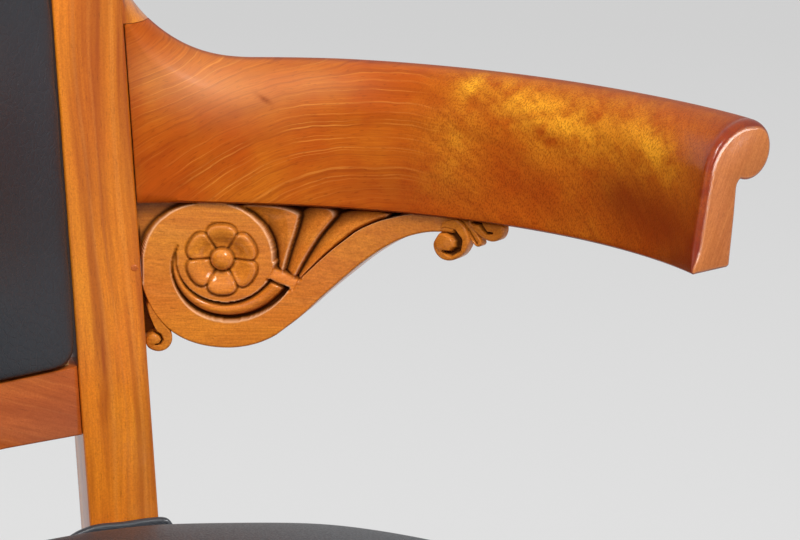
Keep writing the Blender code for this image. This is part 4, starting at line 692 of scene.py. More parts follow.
class CHAIR_OT_stage(bpy.types.Operator):
    """Camera, pale floor and soft studio light"""
    bl_idname = "chair.stage"
    bl_label = "Stage"

    # What the lamps aim at, then each lamp's bearing and rise in degrees, distance, size and power
    AIM = (0.18, 0.02, 0.62)
    LAMPS = (("key_softbox", 253.0, 46.0, 2.4, 0.7, 40.0, True), ("front_bounce", 218.0, 40.0, 3.2, 2.6, 74.0, False),
             ("left_softbox", 176.0, 30.0, 3.0, 1.6, 8.0, True), ("rear_softbox", 60.0, 40.0, 2.8, 1.2, 14.0, False))

    def execute(self, context):
        scene = context.scene
        scene.view_settings.view_transform = "Standard"
        bpy.ops.object.select_all(action="DESELECT")
        bpy.ops.object.camera_add(location=(-1.2348, -1.4379, 1.0198),
                                  rotation=(math.radians(90.0 - 11.971), 0.0, math.radians(-45.354)))
        camera = context.object
        camera.name = "photo_camera"
        camera.data.lens = 178.2
        camera.data.sensor_width = 36.0
        camera.data.sensor_fit = "HORIZONTAL"
        camera.data.clip_end = 50.0
        scene.camera = camera
        self.build_backdrop()
        self.build_lights()
        return {"FINISHED"}

    def seen(self, tree):
        """One for rays that show the backdrop itself: to the camera, in a gloss or through glass."""
        path = add(tree, "ShaderNodeLightPath").outputs
        gloss = add(tree, "ShaderNodeMath", {0: path["Is Camera Ray"], 1: path["Is Glossy Ray"]}, operation="MAXIMUM")
        return add(tree, "ShaderNodeMath", {0: gloss.outputs[0], 1: path["Is Transmission Ray"]},
                   operation="MAXIMUM").outputs[0]

    def build_backdrop(self):
        """A round floor of pale paper that sweeps up into a wall, with room for a camera on every side."""
        reach, sweep = 15.0, 3.0

        def floor(u, v):
            angle = 2.0 * math.pi * u
            return np.stack([reach * v * np.cos(angle), reach * v * np.sin(angle), 0.0 * v - 0.0005], axis=-1)

        def wall(u, v):
            angle = 2.0 * math.pi * u
            bend = np.clip(3.0 * v, 0.0, math.pi / 2.0)
            rise = np.clip(3.0 * v - math.pi / 2.0, 0.0, None) * 4.0
            radius = reach - 0.01 + sweep * np.sin(bend)
            rise = sweep * (1.0 - np.cos(bend)) + rise
            return np.stack([radius * np.cos(angle), radius * np.sin(angle), rise], axis=-1)

        material, tree, shader = start_material("seamless_paper")
        colour = opaque(tone("backdrop"))
        feed(tree, shader, {"Base Color": colour, "Roughness": 0.9, "Specular IOR Level": 0.1})
        coords = add(tree, "ShaderNodeTexCoord").outputs["Object"]
        away = add(tree, "ShaderNodeVectorMath", {0: coords}, operation="LENGTH")
        # Painted light: the paper glows for the rays that see it, a little brighter near the chair than far off
        fall = add(tree, "ShaderNodeMapRange", {"Value": away.outputs["Value"], "From Min": 1.8, "From Max": 5.0,
                                                "To Min": 1.13, "To Max": 1.03})
        glow = add(tree, "ShaderNodeEmission", {"Color": colour, "Strength": fall.outputs[0]})
        share = add(tree, "ShaderNodeMath", {0: self.seen(tree), 1: 0.8}, operation="MULTIPLY")
        both = add(tree, "ShaderNodeMixShader", {0: share.outputs[0], 1: shader.outputs[0], 2: glow.outputs[0]})
        tree.links.new(both.outputs[0], tree.nodes["Material Output"].inputs["Surface"])
        for name, form, across, along in (("paper_floor", floor, 64, 8), ("paper_wall", wall, 48, 32)):
            paper = skin(name, across, along, form, caps=False)
            paper.data.materials.append(material)
            soften(paper, 60.0)

    def build_lights(self):
        """A key light up to the right of the camera, soft fills and a pale room."""
        world = bpy.context.scene.world or bpy.data.worlds.new("studio")
        bpy.context.scene.world = world
        world.use_nodes = True
        tree = world.node_tree
        level = add(tree, "ShaderNodeMapRange", {"Value": self.seen(tree), "To Min": 0.34, "To Max": 0.66})
        feed(tree, tree.nodes["Background"], {"Color": (1.0, 1.0, 1.0, 1.0), "Strength": level.outputs[0]})
        for name, bearing, rise, away, size, power, mirrored in self.LAMPS:
            lamp = self.build_lamp(name, bearing, rise, away, size, power)
            lamp.data.shape = "SQUARE"
            lamp.visible_glossy = mirrored
        self.build_strip()

    def build_lamp(self, name, bearing, rise, away, size, power):
        """One area light, turned towards the chair."""
        bpy.ops.object.select_all(action="DESELECT")
        turn, lift = math.radians(bearing), math.radians(rise)
        way = Vector((math.cos(lift) * math.cos(turn), math.cos(lift) * math.sin(turn), math.sin(lift)))
        bpy.ops.object.light_add(type="AREA", location=Vector(self.AIM) + away * way,
                                 rotation=(-way).to_track_quat("-Z", "Y").to_euler())
        lamp = bpy.context.object
        lamp.name = name
        lamp.data.size = size
        lamp.data.energy = power
        return lamp

    def build_strip(self):
        """A low strip light that only the rounded ends of the arms mirror."""
        strip = self.build_lamp("end_strip", 302.0, 4.0, 2.4, 1.3, 42.0)
        strip.data.shape = "RECTANGLE"
        strip.data.size_y = 0.5
        strip.visible_diffuse = False
        arms = bpy.data.collections.new("arms_in_strip")
        for name in ("arm_left_polished", "arm_right_polished"):
            arms.objects.link(bpy.data.objects[name])
        strip.light_linking.receiver_collection = arms


class CHAIR_OT_arms(bpy.types.Operator):
    """Bowed arms with a rolled outer edge and a cove up to the stile"""
    bl_idname = "chair.arms"
    bl_label = "Arms"

    # Points of the section's parts; then radius and run of the cove, level of the ear's joint, board
    INNER, SHOULDER, ROLL, OUTER, UNDER = 26, 96, 46, 26, 14
    COVE, COVE_RUN, JOINT, BOARD = 0.062, 0.062, 0.0995, 0.030

    def execute(self, context):
        for piece in settle_pair(self.build(), "arm", "polished_fruitwood", "arm"):
            piece.data.materials.append(finish("end"))
            caps = sorted(piece.data.polygons, key=lambda face: -face.loop_total)[:2]
            min(caps, key=lambda face: face.center.y).material_index = 1
        return {"FINISHED"}

    def height(self, run):
        """Height of the arm, a little taller towards the stile."""
        return sizes().arm_height + 0.0024 * (1.0 - ease((run - 0.100) / 0.200))

    def top(self, run):
        """Height of the arm's top with its cove up to the stile."""
        reach = np.clip(self.COVE_RUN - run, 0.0, 0.9995 * self.COVE)
        return self.height(run) + self.COVE - np.sqrt(self.COVE ** 2 - reach ** 2)

    def ear_run(self):
        """Run at which the cove meets the ear joint."""
        drop = self.height(0.0) + self.COVE - self.JOINT
        return self.COVE_RUN - math.sqrt(self.COVE ** 2 - drop ** 2)

    def rolled(self, height):
        """Section of the rolled arm, from the inner lower edge round to the start."""
        size = sizes()
        roll, reach, shoulder, stem = size.arm_roll, 0.0405, 0.031, 0.0275
        soft = size.arris
        centre = (reach, height - shoulder)
        lean = math.atan2(centre[1], centre[0]) + math.asin(shoulder / math.hypot(*centre))
        start = math.pi / 2.0 + lean
        foot = arc_points((soft, soft), soft, 1.5 * math.pi, math.pi, 6)
        tangent = arc_points(centre, shoulder, start, start, 1)
        inner = resample(np.concatenate([foot, tangent]), self.INNER)
        top = arc_points(centre, shoulder, start, math.pi / 2.0, self.SHOULDER + 1)[1:]
        over = arc_points((reach, height - roll), roll, math.pi / 2.0, math.radians(-112.0), self.ROLL + 1)[1:]
        neck = height - 2.0 * roll
        hollow = np.array([(reach - 0.46 * roll, neck + 0.0004), (reach - 0.56 * roll, neck - 0.0020)])
        side = np.array([(mix(stem, reach - 0.5 * roll, 0.55), 0.6 * neck), (stem, 0.0030)])
        heel = arc_points((stem - soft, soft), soft, 0.0, -0.5 * math.pi, 5)
        outer = resample(np.concatenate([over[-1:], hollow, side, heel]), self.OUTER + 1)[1:]
        under = resample(np.array([outer[-1], foot[0]]), self.UNDER + 1)[1:]
        return np.concatenate([inner, top, over, outer, under])

    def plain(self, height, low, high):
        """Section at the stile, point for point with the rolled one, kept between two levels."""
        soft, board, round_in = sizes().arris, self.BOARD, 0.024
        foot = arc_points((soft, soft), soft, 1.5 * math.pi, math.pi, 6)
        inner = resample(np.concatenate([foot, [(0.0, height - round_in)]]), self.INNER)
        crown = arc_points((round_in, height - round_in), round_in, math.pi, math.pi / 2.0, self.SHOULDER)
        top = resample(np.concatenate([crown, [(round_in + 0.0005, height)]]), self.SHOULDER + 1)[1:]
        edge = arc_points((board - 0.004, height - 0.004), 0.004, math.pi / 2.0, 0.0, 8)
        over = resample(np.concatenate([top[-1:], edge, [(board, 0.55 * height)]]), self.ROLL + 1)[1:]
        heel = arc_points((board - soft, soft), soft, 0.0, -0.5 * math.pi, 5)
        outer = resample(np.concatenate([over[-1:], heel]), self.OUTER + 1)[1:]
        under = resample(np.array([outer[-1], foot[0]]), self.UNDER + 1)[1:]
        section = np.concatenate([inner, top, over, outer, under])
        section[:, 1] = np.clip(section[:, 1], low, high)
        section[:, 0] += FACE_LEAN * section[:, 1]
        return section

    def build(self):
        """The left arm as one skin along the horseshoe."""
        size = sizes()
        gap = 0.0005
        first = self.rolled(size.arm_height)
        rise = first[:, 1]
        inner = np.arange(len(first)) < self.INNER + self.SHOULDER
        end_round = np.where(inner, mix(0.0013, 0.0052, ease(rise / 0.014)), 0.0015)
        crown = np.arange(len(first)) - self.INNER - self.SHOULDER
        end_round = np.where((crown >= 0) & (crown < self.ROLL), mix(0.0052, 0.0018, ease(crown / 14.0)), end_round)
        deepest = end_round.max()
        ear = self.ear_run()
        tail = size.arm_run - deepest * np.cos(np.linspace(0.0, math.pi / 2.0, 18))
        runs = np.concatenate([[gap, gap + 0.0002, gap + 0.0006], np.linspace(0.0015, 0.07, 64),
                               np.linspace(0.07, size.arm_run - deepest, 190)[1:], tail[1:]])
        climb = (np.arange(len(first)) - self.INNER) / self.SHOULDER
        over = crown >= 0
        rim = np.where(over, ease(1.0 - (crown - 18.0) / 12.0), ease((climb - 0.80) / 0.15))
        upper = np.where(over, ease(1.0 - (crown - 30.0) / 12.0), ease((climb - 0.25) / 0.30))
        rings, stains = [], []
        for run in runs:
            share = float(ease((run - ear) / (1.5 * self.COVE_RUN)))
            plain = self.plain(float(self.top(run)), 0.0, self.JOINT)
            section = mix(plain, self.rolled(self.height(run)), share)
            front = np.maximum(run - (size.arm_run - end_round), 0.0)
            inset = end_round - np.sqrt(np.maximum(end_round ** 2 - front ** 2, 0.0))
            inset = inset + max(0.0012 - run, 0.0) * 0.6
            if inset.max() > 0.0:
                section = self.draw_in(section, inset)
            rings.append(section)
            left = size.arm_run - run
            stain = ease(1.0 - (left - 0.003) / 0.015) * np.where(inner | (crown < self.ROLL), 1.0, 0.4)
            stain = np.maximum(stain, 0.48 * ease(1.0 - left / 0.044))
            foot = 0.45 * ease(1.0 - rise / 0.0035) * share
            # Painted shade: the rear term darkens the arm next to the stile joint
            rear = 0.30 * ease(1.0 - run / 0.012)
            stains.append(np.clip(np.maximum(stain, foot) + rear, 0.0, 1.0))
        rings, stains = np.array(rings), np.array(stains)
        count = rings.shape[1] - 1

        def place(u, v):
            i, j = index(u, len(runs) - 1), index(v, count)
            run, out, rise = runs[i], rings[i, j, 0], rings[i, j, 1]
            left = size.arm_run - run
            self.notes = self.figure(run, out, rise)
            self.notes["stain"] = stains[i, j]
            self.notes["sawn"] = ease(1.0 - left / (0.05 * end_round[j]))
            # A dark line along the top of the roll, painted dark reflection with some wear, and the lower edge darker
            # towards the front
            low_edge = 0.9 * ease(1.0 - rise / 0.0024) * ease((run - 0.20) / 0.10)
            self.notes["dusk"] = np.maximum(self.notes["dusk"], np.maximum(0.62 * rim[j], low_edge))
            self.notes["matt"] = np.maximum(self.notes["matt"], upper[j]) * ease((left - 0.004) / 0.004)
            return arm_point(run, out, rise)

        arm = skin("arm_left_polished", len(runs) - 1, count, place, closed=False, caps=False)
        for name, values in self.notes.items():
            mark(arm, name, values)
        close(arm)
        soften(arm, 48.0)
        return arm

    # Soft patches: golden figure, dark figure with painted shade, and a painted sheen; each gives run, lift, half
    # length, half width, slope and strength
    GOLDEN = ((0.183, 0.0757, 0.008, 0.0060, 0.0, 0.9), (0.225, 0.0660, 0.032, 0.0100, -0.33, 0.62),
              (0.262, 0.0660, 0.022, 0.0120, -0.20, 0.34), (0.316, 0.0580, 0.030, 0.0130, -0.30, 0.70),
              (0.245, 0.0580, 0.060, 0.0200, -0.15, 0.40),
              (0.180, 0.0460, 0.012, 0.0120, 0.0, 0.4), (0.172, 0.0230, 0.016, 0.0100, 0.2, 0.3))
    # Dark figure and a knot, with painted shade on the lower front of the arm
    DUSK = ((0.149, 0.0150, 0.045, 0.0160, 0.0, 0.40), (0.335, 0.0210, 0.050, 0.0200, -0.1, 0.85),
            (0.295, 0.0290, 0.020, 0.0120, 0.0, 0.40), (0.235, 0.0220, 0.030, 0.0100, -0.4, 0.25),
            (0.290, 0.0840, 0.090, 0.0050, -0.05, 0.30), (0.0705, 0.0600, 0.0035, 0.0016, -0.6, 0.7),
            (0.371, 0.0970, 0.014, 0.0140, 0.0, 0.90), (0.368, 0.0020, 0.022, 0.0070, 0.0, 0.90))
    # Painted sheen: pale patches on the rear of the arm that stand in for a broad soft reflection
    HAZE = ((0.040, 0.0680, 0.036, 0.0170, -0.15, 0.9), (0.095, 0.0720, 0.030, 0.0100, 0.0, 0.5))

    def figure(self, run, out, rise):
        """Measures of the wood's figure at each point, with a painted sheen and painted shade."""
        lift = rise + 0.25 * out
        rings = np.sqrt((0.6 * (0.15 - run)) ** 2 + (rise + 0.05) ** 2 + (0.8 * (0.05 - out)) ** 2)
        notes = {"run": run, "lift": lift, "rings": rings, "front": ease((run - 0.135) / 0.045),
                 "matt": mix(0.96, 0.0, ease((run - 0.325) / 0.036))}
        for name, patches in (("golden", self.GOLDEN), ("dusk", self.DUSK), ("haze", self.HAZE)):
            total = np.zeros(run.shape)
            for middle, level, length, width, slope, strength in patches:
                away = ((run - middle) / length) ** 2 + ((lift - level - slope * (run - middle)) / width) ** 2
                total = total + strength * np.exp(-away)
            notes[name] = np.clip(total, 0.0, 1.0)
        return notes

    def draw_in(self, section, inset):
        """Set a section in along its own normals, to round an end."""
        ahead = np.roll(section[:-1], -1, axis=0)
        behind = np.roll(section[:-1], 1, axis=0)
        tangent = ahead - behind
        tangent /= np.maximum(np.hypot(tangent[:, 0], tangent[:, 1])[:, None], 1e-9)
        inward = np.stack([tangent[:, 1], -tangent[:, 0]], axis=1)
        moved = section[:-1] + inward * inset[:-1, None]
        return np.concatenate([moved, moved[:1]])


class CHAIR_OT_stiles(bpy.types.Operator):
    """Stiles that run down into sabre rear legs, with the ear above each arm"""
    bl_idname = "chair.stiles"
    bl_label = "Stiles"

    def execute(self, context):
        settle_pair(self.build(), "stile", "polished_fruitwood", "rear_stile")
        return {"FINISHED"}

    def section(self, z):
        """Width and depth of the stile at each height."""
        leg = ease(z / 0.327)
        top = np.clip((z - 0.735) / 0.045, 0.0, 1.0)
        width = mix(mix(0.028, STILE_WIDE, leg), 0.036, top)
        depth = mix(mix(0.026, STILE_DEEP, leg), 0.026, top)
        return width, depth

    def build(self):
        """One skin from the foot to the crest, and the ear."""
        levels = np.concatenate([np.array([0.0, 0.0006, 0.0018]), np.linspace(0.004, 0.7797, 220)])
        soft = sizes().arris
        corner = np.sign(rounded_box(1.0, 1.0, 0.0, 9))
        turn = rounded_box(2.0, 2.0, 1.0, 9)
        pad_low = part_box("back_leather")[0].z

        def place(u, v):
            z, j = levels[index(u, len(levels) - 1)], index(v, len(turn) - 1)
            width, depth = self.section(z)
            ease_off = np.clip(0.0018 - z, 0.0, None) * 0.6
            across = corner[j, 0] * (width / 2.0 - soft - ease_off) + turn[j, 0] * soft
            ahead = corner[j, 1] * (depth / 2.0 - soft - ease_off) + turn[j, 1] * soft
            # The rear inner corner stands out; the side beside the back pad is darkened with painted shade
            across = across - 0.0020 * ((corner[j, 0] < 0.0) & (corner[j, 1] < 0.0))
            self.slot = 0.9 * (turn[j, 0] < -0.92) * ease((z - pad_low + 0.002) / 0.004)
            return stile_middle(z) + across[:, None] * ALONG + ahead[:, None] * FACE

        stile = skin("rear_stile_left_polished", len(levels) - 1, len(turn) - 1, place, closed=False, caps=False)
        mark(stile, "recess", self.slot)
        close(stile)
        soften(stile, 40.0)
        return join_pieces(stile, [self.build_ear()])

    def sliced(self, ring, low):
        """The part of a section above the joint, closed by a flat foot."""
        above = np.flatnonzero(ring[:, 1] >= low - 1e-6)
        first, last = above[0], above[-1]
        step = max(ring[first, 1] - ring[first - 1, 1], 1e-9)
        share = np.clip((low - ring[first - 1, 1]) / step, 0.0, 1.0)
        inner, outer = mix(ring[first - 1, 0], ring[first, 0], share), ring[last, 0]
        ring[:first] = (inner, low)
        ring[last + 1:, 0] = np.linspace(outer, inner, len(ring) - last - 1)
        ring[last + 1:, 1] = low
        return ring

    def build_ear(self):
        """The ear: the arm's cove carried on up to the side of the stile."""
        arm = CHAIR_OT_arms
        low = arm.JOINT + 0.0003
        turns = np.linspace(0.03, math.asin((arm.height(arm, 0.0) + arm.COVE - low) / arm.COVE), 40)
        runs = np.concatenate([[-0.006], arm.COVE_RUN - arm.COVE * np.cos(turns)])
        tops = arm.height(arm, 0.0) + arm.COVE - arm.COVE * np.sin(np.concatenate([[0.03], turns]))
        rings = np.array([self.sliced(arm.plain(arm, float(top), -1.0, 1.0), low) for top in tops])

        def place(u, v):
            i, j = index(u, len(runs) - 1), index(v, rings.shape[1] - 1)
            return arm_point(runs[i], rings[i, j, 0], rings[i, j, 1])

        ear = skin("ear", len(runs) - 1, rings.shape[1] - 1, place)
        soften(ear, 40.0)
        return ear


class CHAIR_OT_brackets(bpy.types.Operator):
    """Carved scroll brackets: rosette, spiral, bead, fan of leaves and curls"""
    bl_idname = "chair.brackets"
    bl_label = "Brackets"

    # Middle of the rosette, then how far the carved face and the back stand out, in millimetres
    ROSE = (46.8, -32.6)
    FACE_OUT, BACK_OUT = 4.0, 23.5

    def execute(self, context):
        settle_pair(self.build(), "bracket", "polished_fruitwood", "arm_bracket")
        return {"FINISHED"}

    # Outlines, in millimetres along the arm and below its underside

    def scroll_edge(self, angle):
        """Outer radius of the scroll by its angle, from its top round to its foot."""
        return curve((90, 110, 130, 155, 180, 210, 237, 270, 306),
                     (33.4, 34.7, 37.8, 42.0, 44.4, 47.2, 50.1, 50.5, 51.6), angle)

    def disc_edge(self, angle):
        """Radius of the disc round the rosette, from the start of the spiral cut to the top."""
        return curve((160, 200, 270, 315, 338, 362, 395, 430, 444, 450),
                     (25.1, 24.9, 24.6, 26.2, 28.0, 28.8, 29.8, 31.2, 32.5, 33.4), angle)

    def cut_edge(self, angle):
        """Radius of the strap's inner edge along the spiral cut."""
        return curve((158, 178, 212, 244, 271, 303, 320, 345),
                     (25.0, 27.0, 30.0, 33.2, 34.7, 36.5, 38.0, 41.0), angle)

    def lower_edge(self, run):
        """Lower edge of the bracket: the scroll, then the strap out to the end curl."""
        turn = np.linspace(180.0, 306.0, 300)
        reach = self.scroll_edge(turn)
        x = self.ROSE[0] + reach * np.cos(np.radians(turn))
        y = self.ROSE[1] + reach * np.sin(np.radians(turn))
        strap = curve((77.0, 91.0, 103.0, 116.0, 129.0, 142.0, 151.0, 160.0, 168.0, 176.0, 182.0),
                      (-74.4, -62.9, -51.2, -39.2, -28.0, -19.1, -14.4, -11.2, -9.5, -8.9, -8.9), run)
        return np.where(run < x[-1], np.interp(run, x, y), strap)

    def strap_top(self, rise):
        """Run of the strap's upper edge at each level."""
        return curve((-41.3, -34.2, -26.2, -19.1, -11.8, -4.7, -1.5, 0.4),
                     (90.9, 98.1, 106.5, 115.0, 124.8, 140.5, 151.0, 160.0), rise)

    def fan_lines(self, rise):
        """Runs of the lines between the leaves of the fan, from the disc to the strap."""
        first = curve((-38.5, -26.6, -15.7, -7.3, 0.0), (80.6, 83.9, 87.3, 89.4, 90.2), rise)
        second = curve((-41.5, -28.6, -16.6, -7.9, 0.0), (87.2, 93.9, 101.5, 108.3, 114.6), rise)
        radius = 29.4
        level = np.clip(rise - self.ROSE[1], -radius, radius)
        disc = self.ROSE[0] + np.sqrt(np.maximum(radius ** 2 - level ** 2, 0.0)) + 0.02 * (rise + 40.0)
        return np.stack([disc, first, second, self.strap_top(rise)])

    # Relief: depth behind the face, in millimetres

    def trench(self, run, rise, points, widths, depth):
        """A carved channel along a few points, with a width at each of them."""
        best = np.full(run.shape, 1e9)
        width = np.ones(run.shape)
        for (ax, ay), (bx, by), wa, wb in zip(points, points[1:], widths, widths[1:]):
            dx, dy = bx - ax, by - ay
            t = np.clip(((run - ax) * dx + (rise - ay) * dy) / (dx * dx + dy * dy), 0.0, 1.0)
            distance = np.hypot(run - ax - t * dx, rise - ay - t * dy)
            near = distance < best
            best = np.where(near, distance, best)
            width = np.where(near, mix(wa, wb, t), width)
        return depth * ease(1.0 - best / np.maximum(width, 1e-6))

    def rosette(self, reach, angle, depth):
        """Six raised petals round a domed boss."""
        step = np.mod(angle - 60.0, 60.0) - 30.0
        side = np.abs(step) / 30.0
        tip = 20.2 - 3.4 * side ** 4
        inside = reach < tip
        along = np.clip(reach / tip, 0.0, 1.0)
        cup = curve((0.0, 0.36, 0.50, 0.72, 0.90, 1.0), (2.2, 1.9, 1.5, -0.7, -1.6, -1.2), along)
        rib = 0.55 * (1.0 - side ** 2) * ease((along - 0.35) / 0.3)
        rim = 1.5 - np.sqrt(np.maximum(1.5 ** 2 - np.clip(1.5 - (tip - reach), 0.0, 1.5) ** 2, 0.0))
        petal = cup - rib + rim
        gap = reach * np.radians(30.0 - np.abs(step))
        petal = petal + 2.3 * ease(1.0 - gap / 0.95) * ease((reach - 6.0) / 1.5)
        depth = np.where(inside, petal, depth)
        depth = depth + 1.5 * ease(1.0 - np.abs(reach - tip - 0.35) / 0.75) * (reach > tip - 0.4)
        dome = 6.3
        ball = 1.6 - 4.4 * np.sqrt(np.maximum(1.0 - (reach / dome) ** 2, 0.0))
        depth = np.where(reach < dome, np.minimum(depth, ball), depth)
        return depth + 1.3 * ease(1.0 - np.abs(reach - dome - 0.35) / 0.7)

    def fan(self, run, rise, depth):
        """Three leaves that fan out from the collar up to the arm."""
        lines = self.fan_lines(rise)
        ground = sizes().carving_depth / MM + 3.0
        inside = (run > lines[0]) & (run < lines[3]) & (rise > -43.0)
        leaf = np.full(run.shape, ground)
        for k in range(3):
            share = (run - lines[k]) / np.maximum(lines[k + 1] - lines[k], 0.5)
            here = (share >= 0.0) & (share <= 1.0)
            across = np.clip(share, 0.0, 1.0)
            form = curve((0.0, 0.10, 0.30, 0.58, 0.80, 0.93, 1.0), (7.4, 6.0, 4.3, 2.2, 0.9, 1.2, 2.4), across)
            arch = -0.7 - 4.6 * np.abs(2.0 * across - 1.0) ** 3.0
            past = ease((rise - arch + 0.9) / 1.1)
            form = mix(form, ground, past) + (k == 2) * 3.0 * ease((share - 0.80) / 0.20)
            leaf = np.where(here, form, leaf)
        return np.where(inside, leaf, depth)

    def relief(self, run, rise):
        """Depth of the carving over the whole bracket."""
        x = run - self.ROSE[0]
        y = rise - self.ROSE[1]
        reach = np.hypot(x, y)
        angle = np.mod(np.degrees(np.arctan2(y, x)), 360.0)
        late = np.where(angle < 95.0, angle + 360.0, angle)
        ground = sizes().carving_depth / MM
        depth = np.zeros(run.shape)
        corner = (angle > 88.0) & (angle < 215.0) & (reach > self.scroll_edge(angle)) & (run < 47.0)
        depth = np.where(corner, ground, depth)
        inner = self.disc_edge(late)
        over = (angle < 95.0) & (reach > inner) & (run < self.strap_top(rise))
        depth = np.where(over, ground + 3.0, depth)
        depth = np.where(reach > inner, self.fan(run, rise, depth), depth)

        # The spiral cut with its bead
        outer = self.cut_edge(angle)
        cut = (late > 158.0) & (late < 339.0) & (reach > inner) & (reach < outer)
        width = np.maximum(outer - inner, 0.2)
        share = np.clip((reach - inner) / width, 0.0, 1.0)
        floor = np.minimum(1.2 + 0.75 * width, 7.2)
        swell = ease((late - 168.0) / 40.0)
        bead = curve((0.0, 0.09, 0.22, 0.42, 0.60, 0.74, 0.80, 0.90, 1.0),
                     (0.80, 0.46, 0.15, 0.0, 0.10, 0.42, 0.85, 1.0, 0.95), share)
        depth = np.where(cut, floor * mix(1.0, mix(0.18, 1.0, bead), swell), depth)

        # The small collar that ties the fan, and the two cuts beside it
        slope = math.atan2(-5.8, 13.8)
        along = (run - 73.4) * math.cos(slope) + (rise + 39.8) * math.sin(slope)
        across = (rise + 39.8) * math.cos(slope) - (run - 73.4) * math.sin(slope)
        band = (along > 0.0) & (along < 15.6) & (np.abs(across) < 3.3) & (reach > inner - 0.3)
        depth = np.where(band, 0.7 + 0.05 * (across + 3.3) ** 2, depth)
        depth = depth + self.trench(run, rise, [(71.8, -43.6), (84.2, -49.0)], (0.9, 0.9), 3.2)
        depth = depth + self.trench(run, rise, [(75.2, -36.2), (89.9, -42.2)], (0.7, 0.7), 2.2)
        return self.rosette(reach, angle, depth)

    def blurred(self, grid, passes=1):
        """Soften the cut edges, as carving softens with long use."""
        for _ in range(passes):
            wide = np.pad(grid, 1, mode="edge")
            beside = wide[:-2, 1:-1] + wide[2:, 1:-1] + wide[1:-1, :-2] + wide[1:-1, 2:]
            corners = wide[:-2, :-2] + wide[:-2, 2:] + wide[2:, :-2] + wide[2:, 2:]
            grid = (4.0 * wide[1:-1, 1:-1] + 2.0 * beside + corners) / 16.0
        return grid

    def build(self):
        """Main plate, the three curls, the small leaf and the sunk ground, bent to the horseshoe."""
        plate = self.build_plate()
        curls = [build() for build in (self.build_end_curl, self.build_leaf, self.build_last_curl, self.build_tail,
                                       self.build_web)]
        bracket = join_pieces(plate, curls)
        rename(bracket, "arm_bracket_left_carved")
        soften(bracket, 62.0)
        return bracket

    def bend(self, run, out, rise):
        """Bend flat bracket points to the horseshoe."""
        return arm_point(run * MM, out * MM, rise * MM, sheared=False)

    def build_plate(self):
        """The plate: carved front, square edges and a plain back, in one closed skin."""
        columns, rows, back_rows = 388, 172, 10
        runs = np.linspace(0.3, 181.0, columns + 1)
        low = np.where(runs < 3.0, -33.0, self.lower_edge(runs))
        share = np.linspace(0.0, 1.0, rows + 1)
        rise = low[:, None] + (-0.35 - low)[:, None] * share[None, :]
        run = np.repeat(runs[:, None], rows + 1, axis=1)
        depth = self.blurred(self.relief(run, rise), 1)
        edge = np.clip(1.3 - (rise - low[:, None]), 0.0, 1.3)
        depth = depth + 1.3 - np.sqrt(np.maximum(1.3 ** 2 - edge ** 2, 0.0))
        depth = depth + 0.6 * ease((run - 170.0) / 4.0)
        # Old wax with painted shade in the hollows and on the deeper carving, the end darker, and rubbed high spots
        # with a painted highlight
        hollow = np.clip((depth - self.blurred(depth, 14)) / 1.3, 0.0, 1.0)
        hollow = hollow + np.clip((depth - np.where(run > 72.0, 2.6, 4.5)) / 5.0, 0.0, 0.75)
        hollow = self.blurred(np.clip(hollow + 0.14 * ease((run - 105.0) / 50.0), 0.0, 1.0), 1)
        # Pale rubbed high spots: wear together with a painted highlight on the edges
        rubbed = np.clip((self.blurred(depth, 6) - depth - 0.35) / 0.8, 0.0, 1.0)
        # Round the section: carved face, top, back and lower edge
        face, back = self.FACE_OUT + depth, np.full((columns + 1, 1), self.BACK_OUT)
        upper, lower = rise[:, -1:], rise[:, :1]
        steps = [(face, rise)]
        steps += [(mix(face[:, -1:], self.BACK_OUT, step), upper) for step in (0.35, 0.7, 1.0)]
        steps += [(back, mix(upper, lower, step)) for step in np.linspace(0.0, 1.0, back_rows + 1)[1:]]
        steps += [(mix(back, face[:, :1], step), lower) for step in (0.3, 0.7, 1.0)]
        out, level = (np.concatenate(part, axis=1) for part in zip(*steps))
        last = out.shape[1] - 1
        plain = ((0, 0), (0, last - rows))
        dark, bright = np.pad(hollow, plain), np.pad(rubbed, plain)

        def place(u, v):
            i, j = index(u, columns), index(v, last)
            self.shade, self.wear = dark[i, j], bright[i, j]
            return self.bend(runs[i], out[i, j], level[i, j])

        piece = skin("bracket_plate", columns, last, place, closed=False, caps=False)
        mark(piece, "recess", self.shade)
        mark(piece, "worn", self.wear)
        close(piece)
        return piece

    def rounded(self, points):
        """A smooth closed curve through a few points."""
        points = np.asarray(points, float)
        before, after = np.roll(points, 1, axis=0), np.roll(points, -1, axis=0)
        beyond = np.roll(points, -2, axis=0)
        t = np.linspace(0.0, 1.0, 9)[:-1, None, None]
        path = 0.5 * (2.0 * points + (after - before) * t
                      + (2.0 * before - 5.0 * points + 4.0 * after - beyond) * t ** 2
                      + (3.0 * points - before - 3.0 * after + beyond) * t ** 3)
        path = path.transpose(1, 0, 2).reshape(-1, 2)
        return np.concatenate([path, path[:1]])

    def build_boss(self, name, centre, outline, relief, face, back):
        """A small carved form laid out round its own middle inside an outline."""
        turns, rings, soft = 96, 40, 1.4
        outline = self.rounded(outline)
        angles = np.linspace(0.0, 2.0 * math.pi, turns + 1)
        reach = np.zeros(turns + 1)
        for turn, angle in enumerate(angles):
            way = np.array((math.cos(angle), math.sin(angle)))
            for a, b in zip(outline, outline[1:]):
                side = b - a
                cross = way[0] * side[1] - way[1] * side[0]
                if abs(cross) < 1e-9:
                    continue
                offset = a - np.asarray(centre)
                t = (offset[0] * side[1] - offset[1] * side[0]) / cross
                s = (offset[0] * way[1] - offset[1] * way[0]) / cross
                if t > 0.0 and -1e-6 <= s <= 1.0 + 1e-6:
                    reach[turn] = max(reach[turn], t)
        ring = reach[:-1]
        for _ in range(2):
            ring = (np.roll(ring, 1) + 2.0 * ring + np.roll(ring, -1)) / 4.0
        reach = np.append(ring, ring[0])
        share = np.concatenate([np.linspace(0.0, 1.0, rings), np.ones(3), np.linspace(1.0, 0.0, 6)[1:]])
        level = np.concatenate([np.zeros(rings), np.array([0.35, 0.7, 1.0]), np.ones(5)])
        count = len(share) - 1

